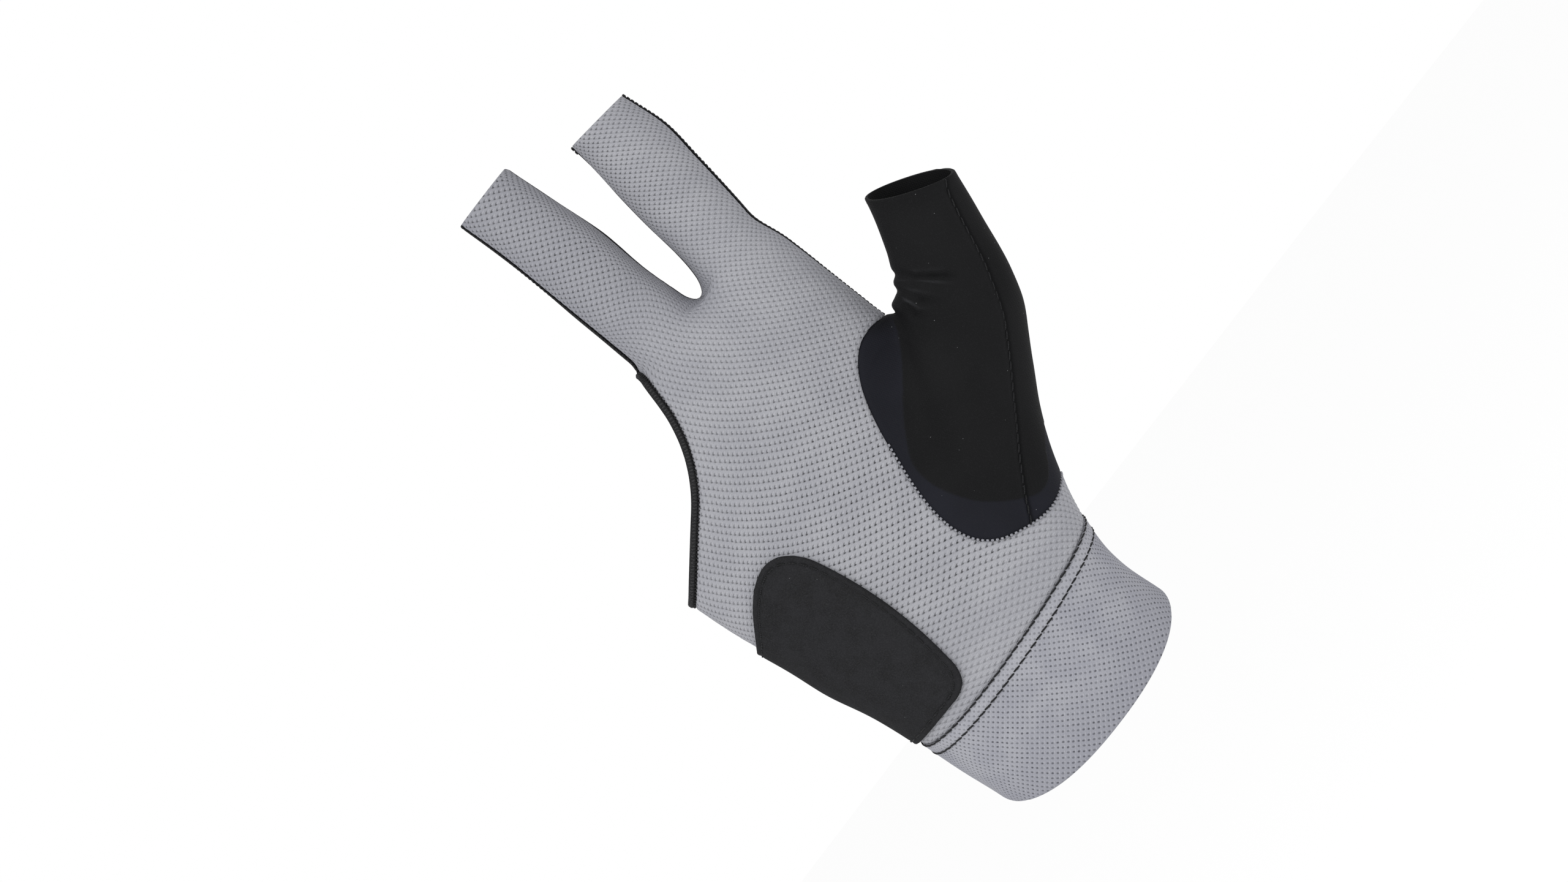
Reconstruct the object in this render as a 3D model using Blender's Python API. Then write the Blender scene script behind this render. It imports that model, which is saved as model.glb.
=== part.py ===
"""Three-finger billiard glove for a right hand, held open as it is worn.

The palm faces -Y, the fingers point along +Z and the thumb leans toward +X. The origin
is the middle of the wrist opening. Every panel is a sheet cut from one hand form, which
is a blend of four limbs (palm, index, middle and thumb) read from short section tables.
"""
import bpy
import numpy as np

# Palm and wrist, metres
PALM_LENGTH = 0.146
PALM_WIDTH = 0.0905
PALM_DEPTH = 0.0295
WRIST_WIDTH = 0.0674
WRIST_DEPTH = 0.0420

# Covered fingers and thumb: width and depth where each starts and at its open end
INDEX_LENGTH = 0.0485
INDEX_WIDTH = 0.0226
INDEX_DEPTH = 0.0205
INDEX_END_WIDTH = 0.0194
INDEX_END_DEPTH = 0.0176
MIDDLE_LENGTH = 0.0600
MIDDLE_WIDTH = 0.0222
MIDDLE_DEPTH = 0.0210
MIDDLE_END_WIDTH = 0.0198
MIDDLE_END_DEPTH = 0.0180
THUMB_LENGTH = 0.0930
THUMB_WIDTH = 0.0325
THUMB_DEPTH = 0.0320
THUMB_END_WIDTH = 0.0243
THUMB_END_DEPTH = 0.0220
THUMB_LEAN = 0.5850

# Cloth
MESH_WALL = 0.0012
STRETCH_WALL = 0.0010
CUFF_WALL = 0.0020
CUFF_PROUD = 0.0004
PAD_WALL = 0.0012
BINDING_WIDTH = 0.0019
BINDING_WALL = 0.0022
BINDING_PROUD = 0.0005
SEAM_GAP = 0.0003

# Cuff: height at its side seams, and how far its hem dips over the palm side
CUFF_HEIGHT = 0.0286
CUFF_TOP_DIP = 0.0042
CUFF_TOP_SLOPE = 0.045
CUFF_TOP_LEVEL = 0.3
HEM_DIP = 0.0106
HEM_RISE = 0.0025
HEM_EASE = 0.25

# Heel pad: it starts at the cuff's seam and reaches in from the little-finger side. Its
# inner edge bows, and a bevel cuts its upper corner at that side.
PAD_LENGTH = 0.0620
PAD_WIDTH = 0.03465
PAD_BOW = 0.0043
PAD_BOW_PLACE = 0.42
PAD_CORNER = 0.0060
PAD_BEVEL = 0.01825

# Opening for the ring and little fingers: its edge starts above the knuckles beside the
# middle finger, runs down, turns, and slopes to the little-finger side. Tilts are in
# radians from upright.
OPENING_RISE = 0.0058
OPENING_CLEARANCE = 0.0004
OPENING_TILT = 0.262
OPENING_DROP = 0.0470
OPENING_FOOT_INSET = 0.00325
OPENING_FOOT_TILT = 0.955
OPENING_TURN = 0.0100
OPENING_TOP_TURN = 0.0040

# Thumb patch let into the palm: a rounded outline along and across the thumb. The tube
# leaves it at the crotch, whose place is in shares of the thumb's length and width.
PATCH_LENGTH = 0.0662
PATCH_WIDTH = 0.0400
PATCH_START = -0.0013
PATCH_SIDE = -0.0062
PATCH_TURN = -0.199
PATCH_SQUARE = 2.85
PATCH_OUTER_START = 0.0127
CROTCH_PLACE = (0.538, -0.418)

# Slopes of the open ends across and through the finger or thumb
INDEX_END_SLOPE = 0.114
FINGER_END_LEAN = 0.06
THUMB_END_LEAN = 0.24

# Creases of the thumb sleeve beside the fork to the index finger, and where they end
# round the thumb, as a share of its depth
FOLD_DEPTH = 0.0011
FOLD_WIDTH = 0.0012
FOLD_BACK = 0.25

# Blends between limbs
FORK_BLEND = 0.0024
ROOT_BLEND = 0.0060
WEB_BLEND = 0.0115
HEEL_BLEND = 0.0100
WEB_PLACE = (0.35, 0.68)
PALM_END_ROUND = 0.0100
THUMB_ROOT_ROUND = 0.0140

# Mesh spacing, and how near to the fork it is fine
CELL = 0.0051
FORK_EDGE = 0.0024
FORK_REACH = 0.0075
FOLD_EDGE = 0.0022

# Step for slopes, the least slope that is divided by, and how near to a line a shared
# point counts as on it
SLOPE_STEP = 0.00002
LEAST_SLOPE = 0.25
ON_LINE = 0.00022

# Where the palm rounds over, and where each limb's ends are closed, as shares of lengths
KNUCKLES = 0.985
PALM_START = -0.150
END_MARGIN = 0.02
FORK_PLACE = 0.240

# Section tables. Lengths are shares: along of the limb's length, across and forward of
# its starting width and depth. Taper runs from its starting size (0) to its end size (1).
# Wide and deep scale the size, and square is the power of the section's rounded outline.
SECTION_COLUMNS = ("along", "across", "forward", "taper", "wide", "deep", "square")
PALM_SECTIONS = (
    (-0.160, 0.028, 0.000, 0.00, 0.985, 1.00, 2.25),
    (0.000, 0.025, 0.000, 0.00, 1.000, 1.00, 2.25),
    (0.090, 0.008, 0.000, 0.03, 1.000, 0.98, 2.25),
    (0.185, 0.017, 0.000, 0.14, 1.000, 0.96, 2.30),
    (0.275, 0.025, 0.020, 0.28, 1.000, 0.95, 2.40),
    (0.380, 0.024, 0.030, 0.53, 1.000, 0.95, 2.50),
    (0.470, 0.034, 0.025, 0.71, 1.000, 0.97, 2.60),
    (0.560, 0.033, 0.020, 0.87, 1.000, 1.00, 2.60),
    (0.690, 0.036, 0.000, 0.99, 1.000, 1.00, 2.60),
    (0.860, 0.031, -0.020, 1.00, 1.010, 0.96, 2.50),
    (1.100, 0.034, -0.030, 1.00, 1.020, 0.80, 2.40),
)
INDEX_SECTIONS = (
    (-0.900, -0.060, 0.10, 0.00, 0.96, 1.00, 2.30),
    (-0.400, -0.040, 0.04, 0.00, 1.00, 1.02, 2.30),
    (0.000, 0.000, 0.00, 0.00, 1.00, 1.00, 2.25),
    (0.120, 0.060, -0.02, 0.00, 0.98, 0.97, 2.25),
    (0.450, 0.165, -0.06, 0.10, 1.02, 0.97, 2.20),
    (0.700, 0.240, -0.09, 0.20, 1.03, 0.99, 2.20),
    (0.900, 0.262, -0.11, 0.70, 1.00, 1.00, 2.20),
    (1.000, 0.265, -0.12, 1.00, 1.00, 1.00, 2.20),
    (1.200, 0.270, -0.14, 1.00, 1.00, 1.00, 2.20),
)
MIDDLE_SECTIONS = (
    (-0.700, -0.020, 0.08, 0.00, 0.96, 1.00, 2.30),
    (-0.300, 0.000, 0.03, 0.00, 1.02, 1.02, 2.30),
    (0.000, 0.000, 0.00, 0.00, 1.02, 1.00, 2.25),
    (0.250, -0.005, -0.02, 0.15, 0.99, 0.98, 2.20),
    (0.520, 0.022, -0.05, 0.30, 1.01, 0.99, 2.20),
    (0.770, 0.006, -0.08, 0.80, 1.00, 1.00, 2.20),
    (1.000, -0.018, -0.11, 1.00, 1.00, 1.00, 2.20),
    (1.150, -0.022, -0.13, 1.00, 1.00, 1.00, 2.20),
)
THUMB_SECTIONS = (
    (-0.110, -0.100, -0.07, 0.00, 0.94, 0.92, 2.20),
    (0.000, -0.096, -0.09, 0.00, 0.98, 1.00, 2.20),
    (0.110, -0.077, -0.12, 0.00, 1.00, 1.03, 2.20),
    (0.260, -0.062, -0.15, 0.00, 1.00, 1.02, 2.20),
    (0.420, 0.006, -0.20, 0.02, 1.00, 0.98, 2.20),
    (0.510, 0.058, -0.24, 0.06, 1.00, 0.95, 2.20),
    (0.610, 0.110, -0.30, 0.14, 1.00, 0.93, 2.20),
    (0.690, 0.118, -0.36, 0.34, 1.00, 0.94, 2.20),
    (0.760, 0.107, -0.42, 0.50, 0.99, 0.96, 2.20),
    (0.860, 0.077, -0.50, 0.74, 0.99, 0.98, 2.20),
    (1.000, 0.010, -0.60, 1.00, 1.00, 1.00, 2.20),
    (1.120, -0.050, -0.68, 1.00, 1.01, 1.00, 2.20),
)

# Where the limbs start: across as a share of the palm's width, along of its length
INDEX_ROOT = (0.4090, 1.0010)
MIDDLE_ROOT = (0.1050, 1.0010)
THUMB_ROOT = (0.2985, 0.2875)

# Depth of the side seam between palm and back, as shares of the palm's depth, at four
# places across the hand: little-finger side, middle finger, fork and thumb side. Each row
# starts with its height, as a share of the palm's length.
SEAM_PLACES = (-0.470, -0.020, 0.240, 0.530)
SEAM_ROWS = (
    (0.00, 0.26, 0.20, 0.10, 0.02),
    (0.30, 0.26, 0.20, 0.10, 0.02),
    (0.65, 0.16, 0.08, 0.02, 0.06),
    (0.78, 0.10, 0.00, 0.00, 0.00),
    (1.00, 0.00, -0.10, -0.02, -0.12),
    (1.20, -0.12, -0.135, -0.06, -0.13),
    (1.50, -0.18, -0.19, -0.12, -0.23),
)

# Creases: start along, start across, end along and end across, as shares of the thumb's
# length and width, and the depth at either end as a share of the fold depth
FOLD_ROWS = (
    (0.777, -0.311, 0.750, -0.197, 0.75, 1.00),
    (0.750, -0.197, 0.725, 0.044, 1.00, 0.80),
    (0.725, 0.044, 0.708, 0.215, 0.80, 0.00),
    (0.757, -0.295, 0.736, -0.211, 0.25, 0.60),
    (0.736, -0.211, 0.693, 0.038, 0.60, 0.00),
    (0.736, -0.351, 0.718, -0.291, 0.75, 0.60),
    (0.718, -0.291, 0.685, -0.198, 0.60, 0.85),
    (0.685, -0.198, 0.645, -0.014, 0.85, 0.10),
    (0.721, -0.319, 0.686, -0.297, 0.60, 1.00),
    (0.686, -0.297, 0.654, -0.286, 1.00, 0.90),
    (0.654, -0.286, 0.633, -0.187, 0.90, 0.00),
)

# Swells of the bunched cloth between them: along, across, reach as a share of the thumb's
# width, and height as a share of the fold depth
SWELL_ROWS = (
    (0.799, -0.315, 0.080, 0.30),
    (0.757, -0.330, 0.070, 0.75),
    (0.696, -0.334, 0.100, 2.60),
)

# Guards against division by zero, and the share of a section inside which depth is flat
TINY = 1e-9
CORE = 1e-3


def read_rows(rows, along):
    """Read a table smoothly between its rows: one array for each column after the first."""
    table = np.array(rows, float)
    knots, values = table[:, 0], table[:, 1:]
    slopes = np.gradient(values, knots, axis=0)
    along = np.clip(along, knots[0], knots[-1])
    row = np.clip(np.searchsorted(knots, along) - 1, 0, len(knots) - 2)
    span = knots[row + 1] - knots[row]
    t = ((along - knots[row]) / span)[..., None]
    span = span[..., None]
    start = values[row] * (1 + 2 * t) * (1 - t) ** 2 + slopes[row] * span * t * (1 - t) ** 2
    end = values[row + 1] * t * t * (3 - 2 * t) + slopes[row + 1] * span * t * t * (t - 1)
    return np.moveaxis(start + end, -1, 0)


def blend_min(a, b, reach):
    """The smaller of two fields, rounded where they meet."""
    near = np.clip(reach - np.abs(a - b), 0, None) / reach
    return np.minimum(a, b) - near * near * reach / 4


def blend_max(a, b, reach):
    """The larger of two fields, rounded where they meet."""
    return -blend_min(-a, -b, reach)


def smooth_step(value, low, high):
    """A smooth ramp from 0 at low to 1 at high."""
    t = np.clip((value - low) / (high - low), 0, 1)
    return t * t * (3 - 2 * t)


def limb_field(across, depth, along, rows, length, start, end):
    """Signed distance to a limb's skin, measured outward from its middle line."""
    row = dict(zip(SECTION_COLUMNS[1:], read_rows(rows, along / length)))
    half_width = row["wide"] * (start[0] + (end[0] - start[0]) * row["taper"]) / 2
    half_depth = row["deep"] * (start[1] + (end[1] - start[1]) * row["taper"]) / 2
    u = across - row["across"] * start[0]
    v = depth - row["forward"] * start[1]
    power = row["square"]
    reach = np.hypot(u, v) + TINY
    ratio = (np.abs(u / half_width) ** power + np.abs(v / half_depth) ** power) ** (1 / power)
    return reach * (1 - 1 / np.maximum(ratio, CORE))


def thumb_place(points):
    """A point's place along, across and in front of the thumb's root line."""
    x = points[..., 0] - THUMB_ROOT[0] * PALM_WIDTH
    z = points[..., 2] - THUMB_ROOT[1] * PALM_LENGTH
    along = x * np.sin(THUMB_LEAN) + z * np.cos(THUMB_LEAN)
    across = x * np.cos(THUMB_LEAN) - z * np.sin(THUMB_LEAN)
    return along, across, points[..., 1]


def palm_field(points):
    """The palm and wrist, rounded over at the knuckles."""
    x, y, z = np.moveaxis(points, -1, 0)
    skin = limb_field(x, y, z, PALM_SECTIONS, PALM_LENGTH,
                      (WRIST_WIDTH, WRIST_DEPTH), (PALM_WIDTH, PALM_DEPTH))
    skin = blend_max(skin, z - KNUCKLES * PALM_LENGTH, PALM_END_ROUND)
    return np.maximum(skin, PALM_START * PALM_LENGTH - z)


def finger_field(points, root, rows, length, start, end):
    """One covered finger, which starts inside the palm."""
    x, y, z = np.moveaxis(points, -1, 0)
    across = x - root[0] * PALM_WIDTH
    along = z - root[1] * PALM_LENGTH
    skin = limb_field(across, y, along, rows, length, start, end)
    skin = np.maximum(skin, along - (rows[-1][0] - END_MARGIN) * length)
    return np.maximum(skin, rows[0][0] * length - along)


def thumb_field(points):
    """The thumb and the mound at its root."""
    along, across, depth = thumb_place(points)
    skin = limb_field(across, depth, along, THUMB_SECTIONS, THUMB_LENGTH,
                      (THUMB_WIDTH, THUMB_DEPTH), (THUMB_END_WIDTH, THUMB_END_DEPTH))
    skin = np.maximum(skin, along - (THUMB_SECTIONS[-1][0] - END_MARGIN) * THUMB_LENGTH)
    return blend_max(skin, THUMB_SECTIONS[0][0] * THUMB_LENGTH - along, THUMB_ROOT_ROUND)


def hand_field(points):
    """The whole hand form: negative inside, zero on the glove's outer face."""
    index = finger_field(points, INDEX_ROOT, INDEX_SECTIONS, INDEX_LENGTH,
                         (INDEX_WIDTH, INDEX_DEPTH), (INDEX_END_WIDTH, INDEX_END_DEPTH))
    middle = finger_field(points, MIDDLE_ROOT, MIDDLE_SECTIONS, MIDDLE_LENGTH,
                          (MIDDLE_WIDTH, MIDDLE_DEPTH), (MIDDLE_END_WIDTH, MIDDLE_END_DEPTH))
    fingers = blend_min(index, middle, FORK_BLEND)
    hand = blend_min(palm_field(points), fingers, ROOT_BLEND)
    along = thumb_place(points)[0] / THUMB_LENGTH
    reach = HEEL_BLEND + (WEB_BLEND - HEEL_BLEND) * smooth_step(along, *WEB_PLACE)
    return blend_min(hand, thumb_field(points), reach)


def slope(field, points):
    """A field's gradient."""
    parts = []
    for axis in np.eye(3) * SLOPE_STEP:
        parts.append((field(points + axis) - field(points - axis)) / (2 * SLOPE_STEP))
    return np.stack(parts, -1)


def outward(points):
    """Unit normals of the hand form."""
    grad = slope(hand_field, points)
    return grad / np.linalg.norm(grad, axis=-1, keepdims=True)


def settle(points, rounds=4):
    """Bring points onto the hand form."""
    for _ in range(rounds):
        grad = slope(hand_field, points)
        size = np.maximum(np.sum(grad * grad, -1, keepdims=True), LEAST_SLOPE ** 2)
        points = points - grad * hand_field(points)[..., None] / size
    return points


def distance_from(field):
    """A field scaled to be a distance near its zero line."""
    def scaled(points):
        size = np.linalg.norm(slope(field, points), axis=-1)
        return field(points) / np.maximum(size, TINY)
    return scaled


def seam_side(points):
    """Positive behind the side seam, on the back of the hand."""
    across = points[..., 0] / PALM_WIDTH
    depths = read_rows(SEAM_ROWS, points[..., 2] / PALM_LENGTH) * PALM_DEPTH
    place = np.clip(across, SEAM_PLACES[0], SEAM_PLACES[-1])
    total = np.zeros_like(place)
    for i, here in enumerate(SEAM_PLACES):
        weight = np.ones_like(place)
        if i > 0:
            weight = weight * smooth_step(place, SEAM_PLACES[i - 1], here)
        if i < len(SEAM_PLACES) - 1:
            weight = weight * (1 - smooth_step(place, here, SEAM_PLACES[i + 1]))
        total = total + weight * depths[i]
    return points[..., 1] - total


def opening_side(points):
    """Positive on the glove's side of the ring and little fingers' opening."""
    x, _, z = np.moveaxis(points, -1, 0)
    side = MIDDLE_ROOT[0] * PALM_WIDTH - MIDDLE_WIDTH / 2 - OPENING_CLEARANCE
    top = PALM_LENGTH + OPENING_RISE
    foot_side = OPENING_FOOT_INSET - PALM_WIDTH / 2
    foot = PALM_LENGTH - OPENING_DROP
    beside = (x - side) * np.cos(OPENING_TILT) - (z - top) * np.sin(OPENING_TILT)
    below = ((x - foot_side) * np.cos(OPENING_FOOT_TILT)
             - (z - foot) * np.sin(OPENING_FOOT_TILT))
    edge = blend_max(beside, below, OPENING_TURN)
    return blend_max(edge, z - top, OPENING_TOP_TURN)


def binding_side(points):
    """Positive beyond the binding, whose width is measured along the cloth."""
    normal = outward(points)
    grad = slope(opening_side, points)
    grad = grad - normal * np.sum(grad * normal, -1, keepdims=True)
    size = np.maximum(np.linalg.norm(grad, axis=-1), LEAST_SLOPE)
    strip = opening_side(points) / size - BINDING_WIDTH
    above = points[..., 2] - PALM_LENGTH - OPENING_RISE
    return blend_max(strip, above + BINDING_WIDTH / 2, BINDING_WIDTH)


def patch_side(points):
    """Positive on the thumb sleeve, with its rounded patch in the palm."""
    along, across, _ = thumb_place(points)
    a = along - PATCH_START - PATCH_LENGTH / 2
    b = across - PATCH_SIDE
    turned_a = a * np.cos(PATCH_TURN) + b * np.sin(PATCH_TURN)
    turned_b = b * np.cos(PATCH_TURN) - a * np.sin(PATCH_TURN)
    ratio = (np.abs(turned_a / PATCH_LENGTH * 2) ** PATCH_SQUARE
             + np.abs(turned_b / PATCH_WIDTH * 2) ** PATCH_SQUARE) ** (1 / PATCH_SQUARE)
    patch = (1 - ratio) * PATCH_WIDTH / 2
    stalk = np.minimum(across - CROTCH_PLACE[1] * THUMB_WIDTH,
                       along - CROTCH_PLACE[0] * THUMB_LENGTH)
    outer = np.minimum(across - PATCH_SIDE, along - PATCH_OUTER_START)
    return np.maximum(np.maximum(patch, stalk), outer)


def cuff_side(points):
    """Positive above the cuff's upper seam."""
    lean = np.minimum(points[..., 1] / (WRIST_DEPTH / 2), CUFF_TOP_LEVEL)
    line = CUFF_HEIGHT + CUFF_TOP_DIP * lean + CUFF_TOP_SLOPE * points[..., 0]
    return points[..., 2] - line


def hem_side(points):
    """Positive above the cuff's hem, which dips over the palm side."""
    front = points[..., 1] / (WRIST_DEPTH / 2)
    lean = (front - np.hypot(front, HEM_EASE)) / 2
    return points[..., 2] - HEM_RISE - HEM_DIP * lean


def index_end(points):
    """Positive below the index finger's open end."""
    shift = INDEX_SECTIONS[-2][1] * INDEX_WIDTH
    x = points[..., 0] - INDEX_ROOT[0] * PALM_WIDTH - shift
    z = points[..., 2] - INDEX_ROOT[1] * PALM_LENGTH - INDEX_LENGTH
    return -(z + INDEX_END_SLOPE * x - FINGER_END_LEAN * points[..., 1])


def middle_end(points):
    """Positive below the middle finger's open end."""
    z = points[..., 2] - MIDDLE_ROOT[1] * PALM_LENGTH - MIDDLE_LENGTH
    return -(z - FINGER_END_LEAN * points[..., 1])


def thumb_end(points):
    """Positive below the thumb's open end, which leans toward the palm side."""
    along, across, depth = thumb_place(points)
    middle = THUMB_SECTIONS[-2][2] * THUMB_DEPTH
    return THUMB_LENGTH + THUMB_END_LEAN * (depth - middle) - along


def pad_side(points):
    """Positive inside the heel pad's outline."""
    x = points[..., 0] + PALM_WIDTH / 2
    z = points[..., 2] - CUFF_HEIGHT
    bow = (z - PAD_BOW_PLACE * PAD_LENGTH) / (PAD_LENGTH / 2)
    edge = x - PAD_WIDTH + PAD_BOW * bow ** 2
    foot = -z
    head = z - PAD_LENGTH
    bevel = (head - x + PAD_BEVEL) / np.sqrt(2)
    outside = blend_max(edge, foot, PAD_CORNER)
    outside = blend_max(outside, head, 2 * PAD_CORNER)
    return -blend_max(outside, bevel, 1.4 * PAD_CORNER)


def fold_offset(points):
    """How far the thumb sleeve's face swells between its creases and sinks into them."""
    along, across, depth = thumb_place(points)
    size = np.array((THUMB_LENGTH, THUMB_WIDTH))
    place = np.stack((along, across), -1)
    sink = np.zeros_like(along)
    for start_a, start_b, end_a, end_b, first, last in FOLD_ROWS:
        start = (start_a, start_b) * size
        run = (end_a, end_b) * size - start
        offset = place - start
        t = np.clip(offset @ run / (run @ run), 0, 1)
        gap = np.linalg.norm(offset - t[..., None] * run, axis=-1)
        sink = np.maximum(sink, (first + (last - first) * t) * np.exp(-(gap / FOLD_WIDTH) ** 2))
    swell = np.zeros_like(along)
    for middle_a, middle_b, reach, height in SWELL_ROWS:
        gap = np.linalg.norm(place - (middle_a, middle_b) * size, axis=-1)
        swell = swell + height * np.exp(-(gap / (reach * THUMB_WIDTH)) ** 2)
    front = 1 - smooth_step(depth / THUMB_DEPTH, 0, FOLD_BACK)
    return FOLD_DEPTH * front * (swell - sink)


def edge_table(faces):
    """Each edge once, with the edge number of each face's three sides."""
    sides = np.sort(faces[:, [0, 1, 1, 2, 2, 0]].reshape(-1, 2), axis=1)
    edges, number = np.unique(sides, axis=0, return_inverse=True)
    return edges, number.reshape(-1, 3)


def wrap_form(cell):
    """A triangle mesh of the whole hand form, one vertex to each grid cell it crosses."""
    reach = max(INDEX_LENGTH, MIDDLE_LENGTH) * 1.25
    low = np.array((-0.62 * PALM_WIDTH, -max(WRIST_DEPTH, PALM_DEPTH, 1.5 * THUMB_DEPTH),
                    -0.18 * PALM_LENGTH))
    high = np.array((0.36 * PALM_WIDTH + 0.75 * THUMB_LENGTH + THUMB_WIDTH,
                     max(WRIST_DEPTH, PALM_DEPTH, THUMB_DEPTH),
                     max(PALM_LENGTH + reach, 0.36 * PALM_LENGTH + 1.3 * THUMB_LENGTH)))
    count = np.ceil((high - low) / cell).astype(int) + 1
    axes = [low[i] + cell * np.arange(count[i]) for i in range(3)]
    grid = np.stack(np.meshgrid(*axes, indexing="ij"), -1)
    value = hand_field(grid)
    inside = value < 0
    total = np.zeros(tuple(count - 1) + (3,))
    hits = np.zeros(tuple(count - 1))
    crossings = []
    for axis in range(3):
        first = tuple(slice(0, -1) if i == axis else slice(None) for i in range(3))
        second = tuple(slice(1, None) if i == axis else slice(None) for i in range(3))
        where = np.argwhere(inside[first] != inside[second])
        a = value[first][tuple(where.T)]
        b = value[second][tuple(where.T)]
        points = grid[first][tuple(where.T)]
        points[:, axis] += cell * a / (a - b)
        crossings.append((axis, where, a < 0))
        others = [i for i in range(3) if i != axis]
        for shift_a in (0, -1):
            for shift_b in (0, -1):
                spot = where.copy()
                spot[:, others[0]] += shift_a
                spot[:, others[1]] += shift_b
                good = np.all((spot >= 0) & (spot < count - 1), axis=1)
                np.add.at(total, tuple(spot[good].T), points[good])
                np.add.at(hits, tuple(spot[good].T), 1)
    used = hits > 0
    number = np.full(hits.shape, -1)
    number[used] = np.arange(used.sum())
    verts = total[used] / hits[used][:, None]
    quads = []
    for axis, where, outward_first in crossings:
        b, c = [(axis + 1) % 3, (axis + 2) % 3]
        corners = []
        for shift_b, shift_c in ((0, 0), (-1, 0), (-1, -1), (0, -1)):
            spot = where.copy()
            spot[:, b] += shift_b
            spot[:, c] += shift_c
            spot = np.clip(spot, 0, count - 2)
            corners.append(number[tuple(spot.T)])
        quad = np.stack(corners, -1)
        quad[~outward_first] = quad[~outward_first][:, ::-1]
        quads.append(quad)
    quads = np.concatenate(quads)
    interior = np.all(quads >= 0, axis=1)
    quads = quads[interior]
    return settle(verts), quads


def relax(verts, faces, rounds):
    """Even out a mesh by moving each vertex toward its neighbours, on the form."""
    edges, _ = edge_table(faces)
    for _ in range(rounds):
        total = np.zeros_like(verts)
        count = np.zeros((len(verts), 1))
        for a, b in ((0, 1), (1, 0)):
            np.add.at(total, edges[:, a], verts[edges[:, b]])
            np.add.at(count, edges[:, a], 1)
        verts = settle(verts + 0.5 * (total / np.maximum(count, 1) - verts), 2)
    return verts


def cut_quads(verts, quads):
    """Two triangles from each quad, along its shorter diagonal."""
    corner = verts[quads]
    first = np.linalg.norm(corner[:, 0] - corner[:, 2], axis=1)
    second = np.linalg.norm(corner[:, 1] - corner[:, 3], axis=1)
    swap = first > second
    turned = np.where(swap[:, None], np.roll(quads, -1, axis=1), quads)
    return np.concatenate((turned[:, [0, 1, 2]], turned[:, [0, 2, 3]]))


def divide(verts, faces, chosen):
    """Split the chosen edges at their middles, and the triangles beside them."""
    edges, number = edge_table(faces)
    middle = np.full(len(edges), -1)
    middle[chosen] = len(verts) + np.arange(chosen.sum())
    added = settle(verts[edges[chosen]].mean(axis=1))
    result = []
    for (a, b, c), (ab, bc, ca) in zip(faces, middle[number]):
        marks = int(ab >= 0) + int(bc >= 0) + int(ca >= 0)
        while marks and (ab < 0 or (marks == 2 and ca >= 0)):
            a, b, c, ab, bc, ca = b, c, a, bc, ca, ab
        if marks == 0:
            result.append((a, b, c))
        elif marks == 1:
            result += [(a, ab, c), (ab, b, c)]
        elif marks == 2:
            result += [(ab, b, bc), (a, ab, bc), (a, bc, c)]
        else:
            result += [(a, ab, ca), (ab, b, bc), (ca, bc, c), (ab, bc, ca)]
    return np.concatenate((verts, added)), np.array(result)


def refine(verts, faces, wanted, rounds):
    """Divide the edges that are longer than the wanted length at their place."""
    for _ in range(rounds):
        edges, _ = edge_table(faces)
        ends = verts[edges]
        length = np.linalg.norm(ends[:, 0] - ends[:, 1], axis=1)
        chosen = length > 1.45 * wanted(ends.mean(axis=1))
        if not chosen.any():
            break
        verts, faces = divide(verts, faces, chosen)
        verts = relax(verts, faces, 2)
    return verts, faces


def wanted_edge(points):
    """The edge length wanted at a point: fine at the fork and the thumb's creases."""
    fork = np.array((FORK_PLACE * PALM_WIDTH, 0.0, PALM_LENGTH))
    near_fork = np.linalg.norm((points - fork) * (1, 0.45, 0.6), axis=-1)
    size = np.where(near_fork < FORK_REACH, FORK_EDGE, CELL * 1.15)
    along, across, depth = thumb_place(points)
    a, b, c = along / THUMB_LENGTH, across / THUMB_WIDTH, depth / THUMB_DEPTH
    creased = (a > 0.62) & (a < 0.81) & (b > -0.52) & (b < 0.12) & (c < 0.05)
    return np.where(creased, FOLD_EDGE, size)


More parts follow.
